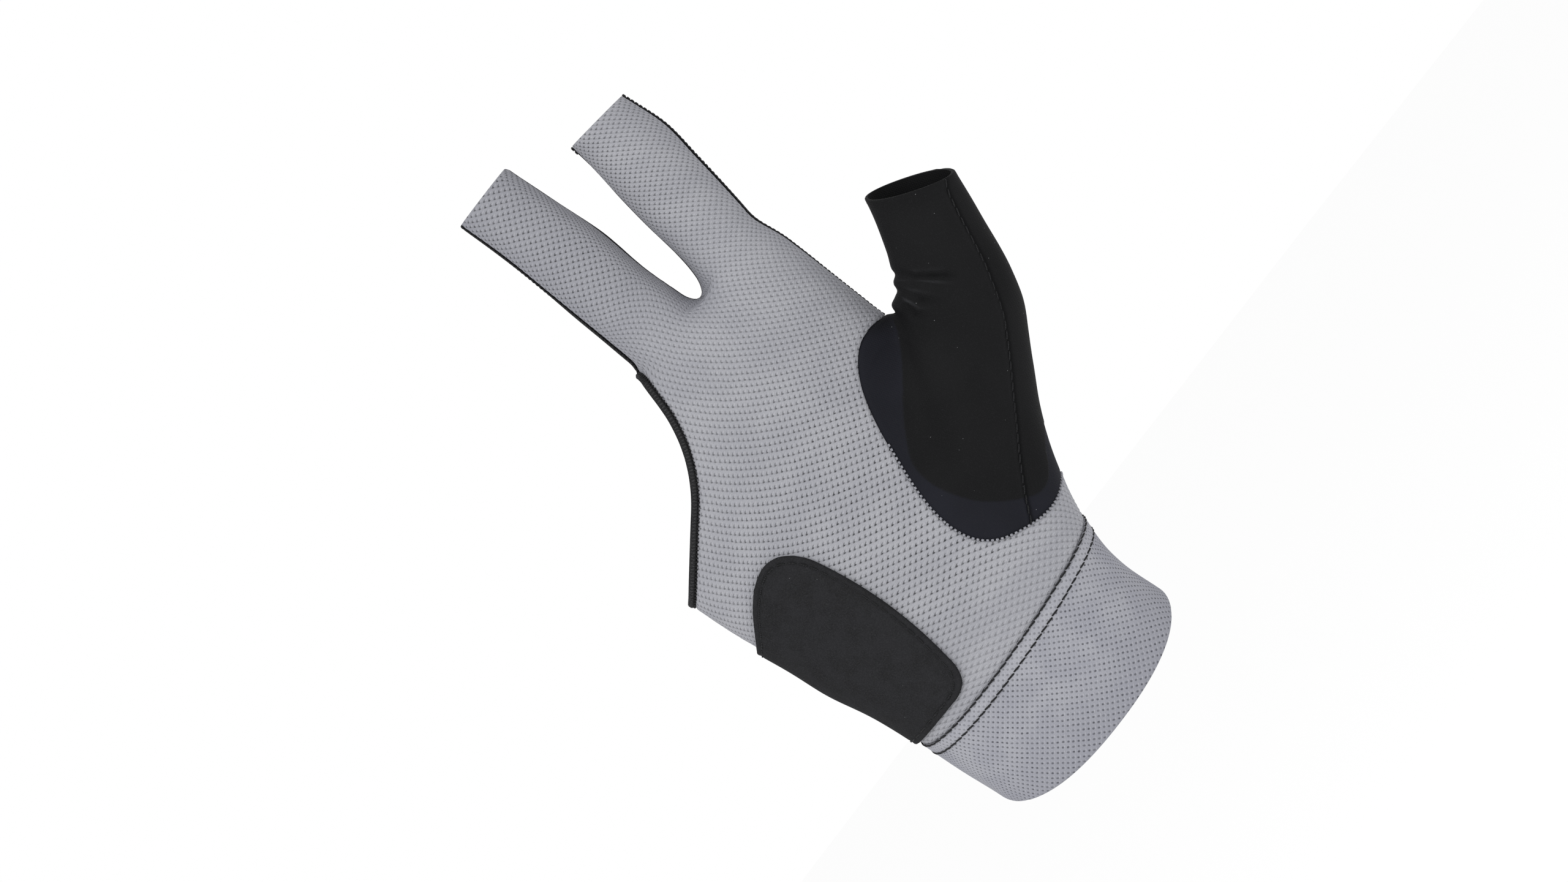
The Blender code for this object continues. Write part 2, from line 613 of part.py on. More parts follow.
class Skin:
    """The hand form's mesh, cut along lines into panels that share their edges."""

    def __init__(self, verts, faces):
        self.verts = verts
        self.faces = faces
        self.locked = np.zeros(len(verts), bool)

    def typical_edge(self):
        """The mean edge length at each vertex."""
        edges, _ = edge_table(self.faces)
        length = np.linalg.norm(self.verts[edges[:, 0]] - self.verts[edges[:, 1]], axis=1)
        total = np.zeros(len(self.verts))
        count = np.zeros(len(self.verts))
        for side in (0, 1):
            np.add.at(total, edges[:, side], length)
            np.add.at(count, edges[:, side], 1)
        return total / np.maximum(count, 1)

    def pull(self, points, field, rounds=4):
        """Slide points over the form onto a field's zero line."""
        for _ in range(rounds):
            normal = outward(points)
            grad = slope(field, points)
            grad = grad - normal * np.sum(grad * normal, -1, keepdims=True)
            size = np.maximum(np.sum(grad * grad, -1, keepdims=True), LEAST_SLOPE ** 2)
            points = settle(points - grad * field(points)[..., None] / size, 2)
        return points

    def cut(self, field, among):
        """Cut the faces marked in among along a field; return the mark of every face."""
        value = field(self.verts)
        edge = self.typical_edge()
        touched = np.zeros(len(self.verts), bool)
        touched[self.faces[among].ravel()] = True
        near = touched & ~self.locked & (np.abs(value) < 0.30 * edge)
        if near.any():
            moved = self.pull(self.verts[near], field)
            far = np.linalg.norm(moved - self.verts[near], axis=1) > 0.6 * edge[near]
            moved[far] = self.verts[near][far]
            self.verts[near] = moved
            value[near] = np.where(far, value[near], 0.0)
        value[touched & self.locked & (np.abs(value) < ON_LINE)] = 0.0
        sign = np.sign(value).astype(int)
        edges, number = edge_table(self.faces)
        split = sign[edges[:, 0]] * sign[edges[:, 1]] < 0
        use = np.zeros(len(edges), bool)
        use[number[among].ravel()] = True
        split = split & use
        a, b = value[edges[split, 0]], value[edges[split, 1]]
        share = (a / (a - b))[:, None]
        ends = self.verts[edges[split]]
        points = ends[:, 0] * (1 - share) + ends[:, 1] * share
        border = self.locked[edges[split, 0]] & self.locked[edges[split, 1]]
        if (~border).any():
            points[~border] = self.pull(settle(points[~border]), field)
        middle = np.full(len(edges), -1)
        middle[split] = len(self.verts) + np.arange(split.sum())
        on_line = touched & (sign == 0)
        self.locked = np.concatenate((self.locked | on_line, np.ones(split.sum(), bool)))
        self.verts = np.concatenate((self.verts, points))
        faces, origin, side = [], [], []
        for i, ((p, q, r), (pq, qr, rp)) in enumerate(zip(self.faces, middle[number])):
            marks = int(pq >= 0) + int(qr >= 0) + int(rp >= 0)
            while marks and (pq < 0 or (marks == 2 and rp >= 0)):
                p, q, r, pq, qr, rp = q, r, p, qr, rp, pq
            if marks == 0:
                found = [((p, q, r), sign[p] + sign[q] + sign[r])]
            elif marks == 1:
                found = [((p, pq, r), sign[p]), ((pq, q, r), sign[q])]
            elif marks == 2:
                found = [((pq, q, qr), sign[q]), ((p, pq, qr), sign[p]), ((p, qr, r), sign[p])]
            for face, mark in found:
                faces.append(face)
                origin.append(i)
                side.append(mark > 0)
        self.faces = np.array(faces)
        return np.array(origin), np.array(side)


def boundary_loops(faces):
    """Directed edges that only one face uses."""
    sides = faces[:, [0, 1, 1, 2, 2, 0]].reshape(-1, 2)
    key = sides[:, 0].astype(np.int64) * (faces.max() + 1) + sides[:, 1]
    back = sides[:, 1].astype(np.int64) * (faces.max() + 1) + sides[:, 0]
    return sides[~np.isin(key, back)]


def inset(verts, faces, normals, amount):
    """Draw a sheet's boundary in by an amount, along its face."""
    rim = boundary_loops(faces)
    run = verts[rim[:, 1]] - verts[rim[:, 0]]
    run /= np.maximum(np.linalg.norm(run, axis=1, keepdims=True), 1e-12)
    side = [np.cross(normals[rim[:, i]], run) for i in (0, 1)]
    total = np.zeros_like(verts)
    for i in (0, 1):
        unit = side[i] / np.linalg.norm(side[i], axis=1, keepdims=True)
        np.add.at(total, rim[:, i], unit)
    square = np.sum(total * total, axis=1)
    moved = square > 0
    result = verts.copy()
    scale = 2 / np.maximum(square[moved], 1.2)
    result[moved] += total[moved] * (scale * amount)[:, None]
    return result


def thicken(verts, faces, lift, wall, dents=None):
    """A closed wall from a sheet: its outer face at lift, its inner face a wall below it."""
    used, local = np.unique(faces, return_inverse=True)
    faces = local.reshape(-1, 3)
    verts = verts[used]
    normals = outward(verts)
    verts = inset(verts, faces, normals, SEAM_GAP / 2)
    outer_lift = np.full(len(verts), lift)
    if dents is not None:
        outer_lift = outer_lift + dents(verts)
    outer = verts + normals * outer_lift[:, None]
    inner = verts + normals * (outer_lift - wall)[:, None]
    count = len(verts)
    rim = boundary_loops(faces)
    sides = np.concatenate((
        np.stack((rim[:, 1], rim[:, 0], rim[:, 0] + count), -1),
        np.stack((rim[:, 1], rim[:, 0] + count, rim[:, 1] + count), -1)))
    solid = np.concatenate((faces, faces[:, ::-1] + count, sides))
    return np.concatenate((outer, inner)), solid


def finish(name, colour, roughness):
    """A plain cloth material."""
    material = bpy.data.materials.new(name)
    material.use_nodes = True
    shader = material.node_tree.nodes["Principled BSDF"]
    shader.inputs["Base Color"].default_value = (*colour, 1.0)
    shader.inputs["Roughness"].default_value = roughness
    shader.inputs["Metallic"].default_value = 0.0
    return material


def add_piece(name, solid, material):
    """One named object from a closed mesh."""
    verts, faces = solid
    mesh = bpy.data.meshes.new(name)
    mesh.from_pydata(verts.tolist(), [], faces.tolist())
    mesh.validate()
    mesh.shade_smooth()
    mesh.materials.append(material)
    piece = bpy.data.objects.new(name, mesh)
    bpy.context.scene.collection.objects.link(piece)
    return piece


def cut_panels():
    """Cut the hand form along every seam and edge; return the skin and its panels."""
    verts, quads = wrap_form(CELL)
    faces = cut_quads(verts, quads)
    verts = relax(verts, faces, 6)
    verts, faces = refine(verts, faces, wanted_edge, 3)
    skin = Skin(verts, faces)
    panel = np.full(len(faces), "body", dtype="<U8")
    cuts = (
        ("hem", distance_from(hem_side), "body", ("away", None)),
        ("cuff", distance_from(cuff_side), "body", ("cuff", None)),
        ("thumb", distance_from(patch_side), "body", (None, "thumb")),
        ("thumb end", distance_from(thumb_end), "thumb", ("away", None)),
        ("opening", distance_from(opening_side), "body", ("away", None)),
        ("binding", binding_side, "body", ("binding", None)),
        ("index end", index_end, "body", ("away", None)),
        ("middle end", middle_end, "body", ("away", None)),
        ("seam", seam_side, "body", ("palm", "back")),
    )
    for name, field, among, (below, above) in cuts:
        chosen = panel == among
        if name == "index end":
            middles = skin.verts[skin.faces].mean(axis=1)
            chosen = chosen & (middles[:, 0] > FORK_PLACE * PALM_WIDTH)
        if name == "middle end":
            middles = skin.verts[skin.faces].mean(axis=1)
            chosen = chosen & (middles[:, 0] < FORK_PLACE * PALM_WIDTH)
        origin, side = skin.cut(field, chosen)
        mark = chosen[origin]
        panel = panel[origin]
        if below is not None:
            panel[mark & ~side] = below
        if above is not None:
            panel[mark & side] = above
    return skin, panel


def build():
    """Make every piece of the glove."""
    for old in list(bpy.data.objects):
        bpy.data.objects.remove(old, do_unlink=True)
    gray_knit = finish("gray_knit", (0.38, 0.38, 0.41), 0.85)
    gray_mesh = finish("gray_mesh", (0.33, 0.35, 0.39), 0.85)
    black_stretch = finish("black_stretch", (0.016, 0.016, 0.017), 0.70)
    black_suede = finish("black_suede", (0.022, 0.022, 0.024), 0.95)
    black_tape = finish("black_tape", (0.030, 0.030, 0.031), 0.80)
    skin, panel = cut_panels()
    sheets = (
        ("palm_panel", "palm", 0.0, MESH_WALL, gray_knit, None),
        ("back_panel", "back", 0.0, STRETCH_WALL, black_stretch, None),
        ("thumb_sleeve", "thumb", 0.0, STRETCH_WALL, black_stretch, fold_offset),
        ("wrist_cuff", "cuff", CUFF_PROUD, CUFF_WALL, gray_mesh, None),
        ("opening_binding", "binding", BINDING_PROUD, BINDING_WALL, black_tape, None),
    )
    for name, label, lift, wall, material, dents in sheets:
        solid = thicken(skin.verts, skin.faces[panel == label], lift, wall, dents)
        add_piece(name, solid, material)
    palm_faces = skin.faces[panel == "palm"]
    pad = Skin(skin.verts, palm_faces)
    rim = np.unique(boundary_loops(palm_faces))
    pad.locked[rim] = True
    _, kept = pad.cut(distance_from(pad_side), np.ones(len(palm_faces), bool))
    solid = thicken(pad.verts, pad.faces[kept], SEAM_GAP + PAD_WALL, PAD_WALL)
    add_piece("heel_pad", solid, black_suede)


build()
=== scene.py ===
"""Looks of the three-finger billiard glove: knit, stretch cloth, suede, tape and stitches.

Each cloth panel is a fine sheet on the same hand form as its CAD solid, cut along the same
seams, with its relief in the mesh and its knit in the material.
"""

import bpy
import numpy as np
from mathutils import Matrix, Vector
from mathutils.kdtree import KDTree


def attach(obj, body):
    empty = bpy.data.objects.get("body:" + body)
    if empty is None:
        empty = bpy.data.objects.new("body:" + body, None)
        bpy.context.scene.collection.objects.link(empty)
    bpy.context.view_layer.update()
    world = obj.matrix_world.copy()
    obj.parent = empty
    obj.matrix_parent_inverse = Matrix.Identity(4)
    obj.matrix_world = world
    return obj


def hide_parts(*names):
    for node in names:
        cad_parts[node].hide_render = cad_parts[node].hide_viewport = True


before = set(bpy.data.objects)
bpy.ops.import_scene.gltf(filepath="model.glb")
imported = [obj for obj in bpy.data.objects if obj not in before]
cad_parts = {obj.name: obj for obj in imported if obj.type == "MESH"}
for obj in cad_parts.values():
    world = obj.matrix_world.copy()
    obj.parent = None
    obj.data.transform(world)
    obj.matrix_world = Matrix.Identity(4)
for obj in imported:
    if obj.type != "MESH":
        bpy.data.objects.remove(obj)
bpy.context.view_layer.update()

# Palm and wrist, metres
PALM_LENGTH = 0.146
PALM_WIDTH = 0.0905
PALM_DEPTH = 0.0295
WRIST_WIDTH = 0.0674
WRIST_DEPTH = 0.0420

# Covered fingers and thumb: width and depth where each starts and at its open end
INDEX_LENGTH = 0.0485
INDEX_WIDTH = 0.0226
INDEX_DEPTH = 0.0205
INDEX_END_WIDTH = 0.0194
INDEX_END_DEPTH = 0.0176
MIDDLE_LENGTH = 0.0600
MIDDLE_WIDTH = 0.0222
MIDDLE_DEPTH = 0.0210
MIDDLE_END_WIDTH = 0.0198
MIDDLE_END_DEPTH = 0.0180
THUMB_LENGTH = 0.0930
THUMB_WIDTH = 0.0325
THUMB_DEPTH = 0.0320
THUMB_END_WIDTH = 0.0243
THUMB_END_DEPTH = 0.0220
THUMB_LEAN = 0.5850

# Cloth
MESH_WALL = 0.0012
STRETCH_WALL = 0.0010
CUFF_WALL = 0.0020
CUFF_PROUD = 0.0004
PAD_WALL = 0.0012
BINDING_WIDTH = 0.0019
BINDING_WALL = 0.0022
BINDING_PROUD = 0.0005
SEAM_GAP = 0.0003

# Cuff: height at its side seams, and how far its hem dips over the palm side
CUFF_HEIGHT = 0.0286
CUFF_TOP_DIP = 0.0042
CUFF_TOP_SLOPE = 0.045
CUFF_TOP_LEVEL = 0.3
HEM_DIP = 0.0106
HEM_RISE = 0.0025
HEM_EASE = 0.25

# Heel pad: it starts at the cuff's seam and reaches in from the little-finger side. Its
# inner edge bows, and a bevel cuts its upper corner at that side.
PAD_LENGTH = 0.0620
PAD_WIDTH = 0.03465
PAD_BOW = 0.0043
PAD_BOW_PLACE = 0.42
PAD_CORNER = 0.0060
PAD_BEVEL = 0.01825

# Opening for the ring and little fingers: its edge starts above the knuckles beside the
# middle finger, runs down, turns, and slopes to the little-finger side. Tilts are in
# radians from upright.
OPENING_RISE = 0.0058
OPENING_CLEARANCE = 0.0004
OPENING_TILT = 0.262
OPENING_DROP = 0.0470
OPENING_FOOT_INSET = 0.00325
OPENING_FOOT_TILT = 0.955
OPENING_TURN = 0.0100
OPENING_TOP_TURN = 0.0040

# Thumb patch let into the palm: a rounded outline along and across the thumb. The tube
# leaves it at the crotch, whose place is in shares of the thumb's length and width.
PATCH_LENGTH = 0.0662
PATCH_WIDTH = 0.0400
PATCH_START = -0.0013
PATCH_SIDE = -0.0062
PATCH_TURN = -0.199
PATCH_SQUARE = 2.85
PATCH_OUTER_START = 0.0127
CROTCH_PLACE = (0.538, -0.418)

# Slopes of the open ends across and through the finger or thumb
INDEX_END_SLOPE = 0.114
FINGER_END_LEAN = 0.06
THUMB_END_LEAN = 0.24

# Creases of the thumb sleeve beside the fork to the index finger, and where they end
# round the thumb, as a share of its depth
FOLD_DEPTH = 0.0011
FOLD_WIDTH = 0.0012
FOLD_BACK = 0.25

# Blends between limbs
FORK_BLEND = 0.0024
ROOT_BLEND = 0.0060
WEB_BLEND = 0.0115
HEEL_BLEND = 0.0100
WEB_PLACE = (0.35, 0.68)
PALM_END_ROUND = 0.0100
THUMB_ROOT_ROUND = 0.0140

# Step for slopes, the least slope that is divided by, and how near to a line a shared
# point counts as on it
SLOPE_STEP = 0.00002
LEAST_SLOPE = 0.25
ON_LINE = 0.00022

# Where the palm rounds over, and where each limb's ends are closed, as shares of lengths
KNUCKLES = 0.985
PALM_START = -0.150
END_MARGIN = 0.02
FORK_PLACE = 0.240

# Mesh: spacing before the sheets are divided, rounds of evening out, how near to a cut a
# point is drawn onto it and how far it may go for that, as shares of an edge, the sharpest
# corner that is inset in full, and how straight a rim has to be to be curved
CELL = 0.0036
EVEN_ROUNDS = 6
NEAR_CUT = 0.30
FAR_PULL = 0.6
SHARPEST = 1.2
STRAIGHT = 0.80
SHARP_ANGLE = np.radians(55)

# Camera: a long lens square to the palm, turned so that the fingers point to the upper left
VIEW_CENTRE = (0.00647, -0.005, 0.1046)
VIEW_RIGHT = (0.6088, 0.0, -0.7934)
VIEW_UP = (0.7934, 0.0, 0.6088)
VIEW_WIDTH = 0.4096
LENS = 100.0
SENSOR = 36.0

# Floor and light
FLOOR_LEVEL = -0.42
FLOOR_RADIUS = 7.0
KEY_POWER = 11.0
KEY_SIZE = 0.9
FILL_POWER = 2.0

# Knit: spacing of the dimples along a row and from row to row, and their depth, metres
KNIT_PITCH = 0.00130
KNIT_ROW = 0.00173
KNIT_DEPTH = 0.00014
CUFF_PITCH = 0.00127
CUFF_ROW = 0.00145
CUFF_DEPTH = 0.00008

# Where the knit's columns and rows run, as sums of powers of the place (x, z) from an
# origin in units of KNIT_SPAN: x, z, xx, xz, zz, xxx, xxz, xzz, zzz. The sums are held
# between the low and high places, and go on straight beyond them.
KNIT_SPAN = 0.050
POWERS = ((1, 0), (0, 1), (2, 0), (1, 1), (0, 2), (3, 0), (2, 1), (1, 2), (0, 3))
PALM_KNIT = ((0.020, 0.100), (-0.95, -1.15), (0.55, 0.85),
             (0.477, -0.849, -0.092, 0.118, 0.072, -0.051, -0.062, -0.038, 0.007),
             (0.582, 0.841, 0.090, 0.325, -0.031, 0.175, -0.093, 0.241, -0.038))
INDEX_KNIT = ((0.037, 0.165), (-0.30, -0.70), (0.35, 0.50),
              (0.105, -1.111, -0.352, -0.130, -0.120),
              (0.999, 0.946, 0.240, 0.062, 0.015))
MIDDLE_KNIT = ((0.010, 0.175), (-1.0, -1.0), (1.0, 1.0), (0.393, -0.957), (0.685, 0.910))
CUFF_KNIT = ((0.000, 0.012), (-0.60, -0.60), (0.70, 0.60),
             (0.654, -0.774, 0.088, 0.078, -0.077),
             (0.730, 0.697, -0.168, 0.102, -0.057))
INDEX_SHIFT = (-0.05069, 0.07222)
MIDDLE_SHIFT = (-0.06822, 0.04786)
SIDE_ROUND = 0.0105

# Size of a pit as shares of its cell, and how far it sits below the cell's middle
PIT_SIZE = (0.24, 0.28)
PIT_DROP = 0.08

# Where the fingers' knit takes over from the palm's, from and to, across and up the hand
KNIT_SIDE = (0.016, 0.028)
INDEX_JOIN = (0.126, 0.150)
MIDDLE_JOIN = (0.142, 0.164)

# Where the knit is stretched open: round a place in shares of the thumb's length and width,
# and up the fingers. Where it lies plain: near the cuff and at the thumb side.
OPEN_PLACE = (0.16, -0.75)
OPEN_REACH = (0.012, 0.075)
OPEN_FINGERS = (0.150, 0.172)
PLAIN_ABOVE = (0.004, 0.024)
PLAIN_SIDE = (0.034, 0.046)

# Painted shade on the knit: the middle finger, the turned sides and the fork
SIDE_SHADE = 0.7
SHADE_SIDE = (0.012, 0.024)
MIDDLE_SHADE = (0.13, 0.17)
SIDE_SHADE_RISE = (0.08, 0.14)
FORK_SHADE = (0.002, 0.010)

# Threads: radius, length of a stitch and gap to the next, and how far their rows run below
# the cuff's seam and inside the pad's edge
THREAD = 0.00024
STITCH = 0.0024
STITCH_GAP = 0.0001
CUFF_BAND = 0.0032
PAD_MARGIN = 0.0017

# Loops along the patch's lower edge: pace, reach, and how far up the thumb they go
TOOTH = 0.0013
TOOTH_REACH = 0.00042
TOOTH_END = 0.34

# No side stitches this near to the fork; thumb stitches only where the form faces this way
FORK_HALF = 0.0115
SEAM_FACING = -0.25

# Edging: pace of its wraps, pace and reach of its ties, and how its top end tucks under
WRAP = 0.0009
TIE = 0.00105
TIE_REACH = 0.00045
TUCK = 0.0009
TUCK_LENGTH = 0.012

# One stitch: places along it, and its thickness and lift there, as shares
STITCH_PROFILE = (
    (-0.50, 0.45, -0.55),
    (-0.42, 0.90, -0.15),
    (-0.20, 1.00, 0.10),
    (0.20, 1.00, 0.10),
    (0.42, 0.90, -0.15),
    (0.50, 0.45, -0.55),
)

# Slack in each cloth: height and length of its waves, and their seed
PALM_WAVES = (0.00012, 0.030, 3)
BACK_WAVES = (0.00018, 0.024, 5)
THUMB_WAVES = (0.00015, 0.020, 7)
CUFF_WAVES = (0.00022, 0.026, 9)
PAD_WAVES = (0.00012, 0.016, 11)

# Seams: the gap left at either side, how far the sheets sink and round over toward them
SEAM_LEFT = 0.00002
SEAM_SINK = 0.00035
SEAM_REACH = 0.0013
EDGE_ROUND = 0.0005

# Thumb: the lapped seam's rise and drop beside its line, where it fades out behind, its
# painted highlight and painted shade either side, the rim's flare, the scale of the creases'
# painted highlight and shade, and the patch's border
LAP_WIDTH = 0.0008
LAP_HEIGHT = 0.00022
LAP_RISE = 0.8
LAP_DROP = 0.4
LAP_BACK = (-0.1, 0.2)
LAP_HIGHLIGHT = 0.24
LAP_SHADE = 0.7
RIM_FLARE = 0.0004
CREASE_HEIGHT = 0.00045
CREASE_ROUNDS = 12
BORDER_SINK = 0.00016

# Cuff: rounding of the hem's fold, the pucker and band at the stitch rows, and the painted shade
# over its foot
HEM_ROUND = 0.8 * CUFF_WALL
PUCKER_DEPTH = 0.00010
PUCKER_WIDTH = 0.0006
BAND_SOFT = 0.0004
CUFF_FOOT_SHADE = (0.012, 0.034)

# Pad: its rounded edge, the groove of its stitches, and its underside's height
PAD_ROUND = 0.0008
PAD_ROUND_DEPTH = 0.0006
PAD_GROOVE_DEPTH = 0.00022
PAD_GROOVE_WIDTH = 0.00045
PAD_UNDERSIDE = 0.6 * SEAM_GAP

# Edging: how low its sides lie, its scallops' height, and where its crown is lighter
TAPE_EDGE = 0.00025
SCALLOP = 0.00012
LIGHTER_CROWN = (0.60, 1.0)

# Girths of the flat cuff and thumb
WRIST_GIRTH = np.pi * (WRIST_WIDTH + WRIST_DEPTH) / 2
THUMB_GIRTH = np.pi * (THUMB_WIDTH + THUMB_DEPTH) / 2

# Section tables. Lengths are shares: along of the limb's length, across and forward of
# its starting width and depth. Taper runs from its starting size (0) to its end size (1).
# Wide and deep scale the size, and square is the power of the section's rounded outline.
SECTION_COLUMNS = ("along", "across", "forward", "taper", "wide", "deep", "square")
PALM_SECTIONS = (
    (-0.160, 0.028, 0.000, 0.00, 0.985, 1.00, 2.25),
    (0.000, 0.025, 0.000, 0.00, 1.000, 1.00, 2.25),
    (0.090, 0.008, 0.000, 0.03, 1.000, 0.98, 2.25),
    (0.185, 0.017, 0.000, 0.14, 1.000, 0.96, 2.30),
    (0.275, 0.025, 0.020, 0.28, 1.000, 0.95, 2.40),
    (0.380, 0.024, 0.030, 0.53, 1.000, 0.95, 2.50),
    (0.470, 0.034, 0.025, 0.71, 1.000, 0.97, 2.60),
    (0.560, 0.033, 0.020, 0.87, 1.000, 1.00, 2.60),
    (0.690, 0.036, 0.000, 0.99, 1.000, 1.00, 2.60),
    (0.860, 0.031, -0.020, 1.00, 1.010, 0.96, 2.50),
    (1.100, 0.034, -0.030, 1.00, 1.020, 0.80, 2.40),
)
INDEX_SECTIONS = (
    (-0.900, -0.060, 0.10, 0.00, 0.96, 1.00, 2.30),
    (-0.400, -0.040, 0.04, 0.00, 1.00, 1.02, 2.30),
    (0.000, 0.000, 0.00, 0.00, 1.00, 1.00, 2.25),
    (0.120, 0.060, -0.02, 0.00, 0.98, 0.97, 2.25),
    (0.450, 0.165, -0.06, 0.10, 1.02, 0.97, 2.20),
    (0.700, 0.240, -0.09, 0.20, 1.03, 0.99, 2.20),
    (0.900, 0.262, -0.11, 0.70, 1.00, 1.00, 2.20),
    (1.000, 0.265, -0.12, 1.00, 1.00, 1.00, 2.20),
    (1.200, 0.270, -0.14, 1.00, 1.00, 1.00, 2.20),
)
MIDDLE_SECTIONS = (
    (-0.700, -0.020, 0.08, 0.00, 0.96, 1.00, 2.30),
    (-0.300, 0.000, 0.03, 0.00, 1.02, 1.02, 2.30),
    (0.000, 0.000, 0.00, 0.00, 1.02, 1.00, 2.25),
    (0.250, -0.005, -0.02, 0.15, 0.99, 0.98, 2.20),
    (0.520, 0.022, -0.05, 0.30, 1.01, 0.99, 2.20),
    (0.770, 0.006, -0.08, 0.80, 1.00, 1.00, 2.20),
    (1.000, -0.018, -0.11, 1.00, 1.00, 1.00, 2.20),
    (1.150, -0.022, -0.13, 1.00, 1.00, 1.00, 2.20),
)
THUMB_SECTIONS = (
    (-0.110, -0.100, -0.07, 0.00, 0.94, 0.92, 2.20),
    (0.000, -0.096, -0.09, 0.00, 0.98, 1.00, 2.20),
    (0.110, -0.077, -0.12, 0.00, 1.00, 1.03, 2.20),
    (0.260, -0.062, -0.15, 0.00, 1.00, 1.02, 2.20),
    (0.420, 0.006, -0.20, 0.02, 1.00, 0.98, 2.20),
    (0.510, 0.058, -0.24, 0.06, 1.00, 0.95, 2.20),
    (0.610, 0.110, -0.30, 0.14, 1.00, 0.93, 2.20),
    (0.690, 0.118, -0.36, 0.34, 1.00, 0.94, 2.20),
    (0.760, 0.107, -0.42, 0.50, 0.99, 0.96, 2.20),
    (0.860, 0.077, -0.50, 0.74, 0.99, 0.98, 2.20),
    (1.000, 0.010, -0.60, 1.00, 1.00, 1.00, 2.20),
    (1.120, -0.050, -0.68, 1.00, 1.01, 1.00, 2.20),
)

# Where the limbs start: across as a share of the palm's width, along of its length
INDEX_ROOT = (0.4090, 1.0010)
MIDDLE_ROOT = (0.1050, 1.0010)
THUMB_ROOT = (0.2985, 0.2875)

# Depth of the side seam between palm and back, as shares of the palm's depth, at four
# places across the hand: little-finger side, middle finger, fork and thumb side. Each row
# starts with its height, as a share of the palm's length.
SEAM_PLACES = (-0.470, -0.020, 0.240, 0.530)
SEAM_ROWS = (
    (0.00, 0.26, 0.20, 0.10, 0.02),
    (0.30, 0.26, 0.20, 0.10, 0.02),
    (0.65, 0.16, 0.08, 0.02, 0.06),
    (0.78, 0.10, 0.00, 0.00, 0.00),
    (1.00, 0.00, -0.10, -0.02, -0.12),
    (1.20, -0.12, -0.135, -0.06, -0.13),
    (1.50, -0.18, -0.19, -0.12, -0.23),
)

# Creases: start along, start across, end along and end across, as shares of the thumb's
# length and width, and the depth at either end as a share of the fold depth
FOLD_ROWS = (
    (0.777, -0.311, 0.750, -0.197, 0.75, 1.00),
    (0.750, -0.197, 0.725, 0.044, 1.00, 0.80),
    (0.725, 0.044, 0.708, 0.215, 0.80, 0.00),
    (0.757, -0.295, 0.736, -0.211, 0.25, 0.60),
    (0.736, -0.211, 0.693, 0.038, 0.60, 0.00),
    (0.736, -0.351, 0.718, -0.291, 0.75, 0.60),
    (0.718, -0.291, 0.685, -0.198, 0.60, 0.85),
    (0.685, -0.198, 0.645, -0.014, 0.85, 0.10),
    (0.721, -0.319, 0.686, -0.297, 0.60, 1.00),
    (0.686, -0.297, 0.654, -0.286, 1.00, 0.90),
    (0.654, -0.286, 0.633, -0.187, 0.90, 0.00),
)

# Swells of the bunched cloth between them: along, across, reach as a share of the thumb's
# width, and height as a share of the fold depth
SWELL_ROWS = (
    (0.799, -0.315, 0.080, 0.30),
    (0.757, -0.330, 0.070, 0.75),
    (0.696, -0.334, 0.100, 2.60),
)

# Guards against division by zero, and the share of a section inside which depth is flat
TINY = 1e-9
CORE = 1e-3
LEAST_WIDTH = 1e-6

# Thumb seam: along and across the thumb, as shares of its length and width
THUMB_SEAM = (
    (0.995, 0.290),
    (0.945, 0.264),
    (0.846, 0.306),
    (0.732, 0.363),
    (0.640, 0.378),
    (0.567, 0.378),
    (0.498, 0.342),
    (0.430, 0.302),
    (0.346, 0.243),
    (0.262, 0.188),
    (0.178, 0.130),
    (0.092, 0.083),
    (0.005, 0.055),
)

# Inner edge of the patch's bluer border: the same, from the crotch round to the thumb side
BORDER_LINE = (
    (0.629, -0.446),
    (0.542, -0.492),
    (0.416, -0.609),
    (0.340, -0.662),
    (0.268, -0.683),
    (0.214, -0.628),
    (0.171, -0.535),
    (0.132, -0.403),
    (0.104, -0.271),
    (0.083, -0.092),
    (0.072, 0.095),
    (0.075, 0.218),
    (0.099, 0.302),
    (0.139, 0.348),
    (0.183, 0.372),
)

# How that line's inner side closes round the sleeve, and where the border fades out behind
# the thumb and up it
BORDER_RING = ((0.26, 0.44), (0.30, 1.2), (1.4, 1.2), (1.4, -0.9), (0.76, -0.46))
BORDER_SOFT = 0.0004
BORDER_BACK = 0.12
BORDER_TOP = (0.62, 0.70)


def read_rows(rows, along):
    """Read a table smoothly between its rows: one array for each column after the first."""
    table = np.array(rows, float)
    knots, values = table[:, 0], table[:, 1:]
    slopes = np.gradient(values, knots, axis=0)
    along = np.clip(along, knots[0], knots[-1])
    row = np.clip(np.searchsorted(knots, along) - 1, 0, len(knots) - 2)
    span = knots[row + 1] - knots[row]
    t = ((along - knots[row]) / span)[..., None]
    span = span[..., None]
    start = values[row] * (1 + 2 * t) * (1 - t) ** 2 + slopes[row] * span * t * (1 - t) ** 2
    end = values[row + 1] * t * t * (3 - 2 * t) + slopes[row + 1] * span * t * t * (t - 1)
    return np.moveaxis(start + end, -1, 0)


def blend_min(a, b, reach):
    """The smaller of two fields, rounded where they meet."""
    near = np.clip(reach - np.abs(a - b), 0, None) / reach
    return np.minimum(a, b) - near * near * reach / 4


def blend_max(a, b, reach):
    """The larger of two fields, rounded where they meet."""
    return -blend_min(-a, -b, reach)


def smooth_step(value, low, high):
    """A smooth ramp from 0 at low to 1 at high."""
    t = np.clip((value - low) / (high - low), 0, 1)
    return t * t * (3 - 2 * t)


def bell(value, width):
    """1 at zero, falling smoothly to 0 past the width."""
    return np.exp(-(value / width) ** 2)


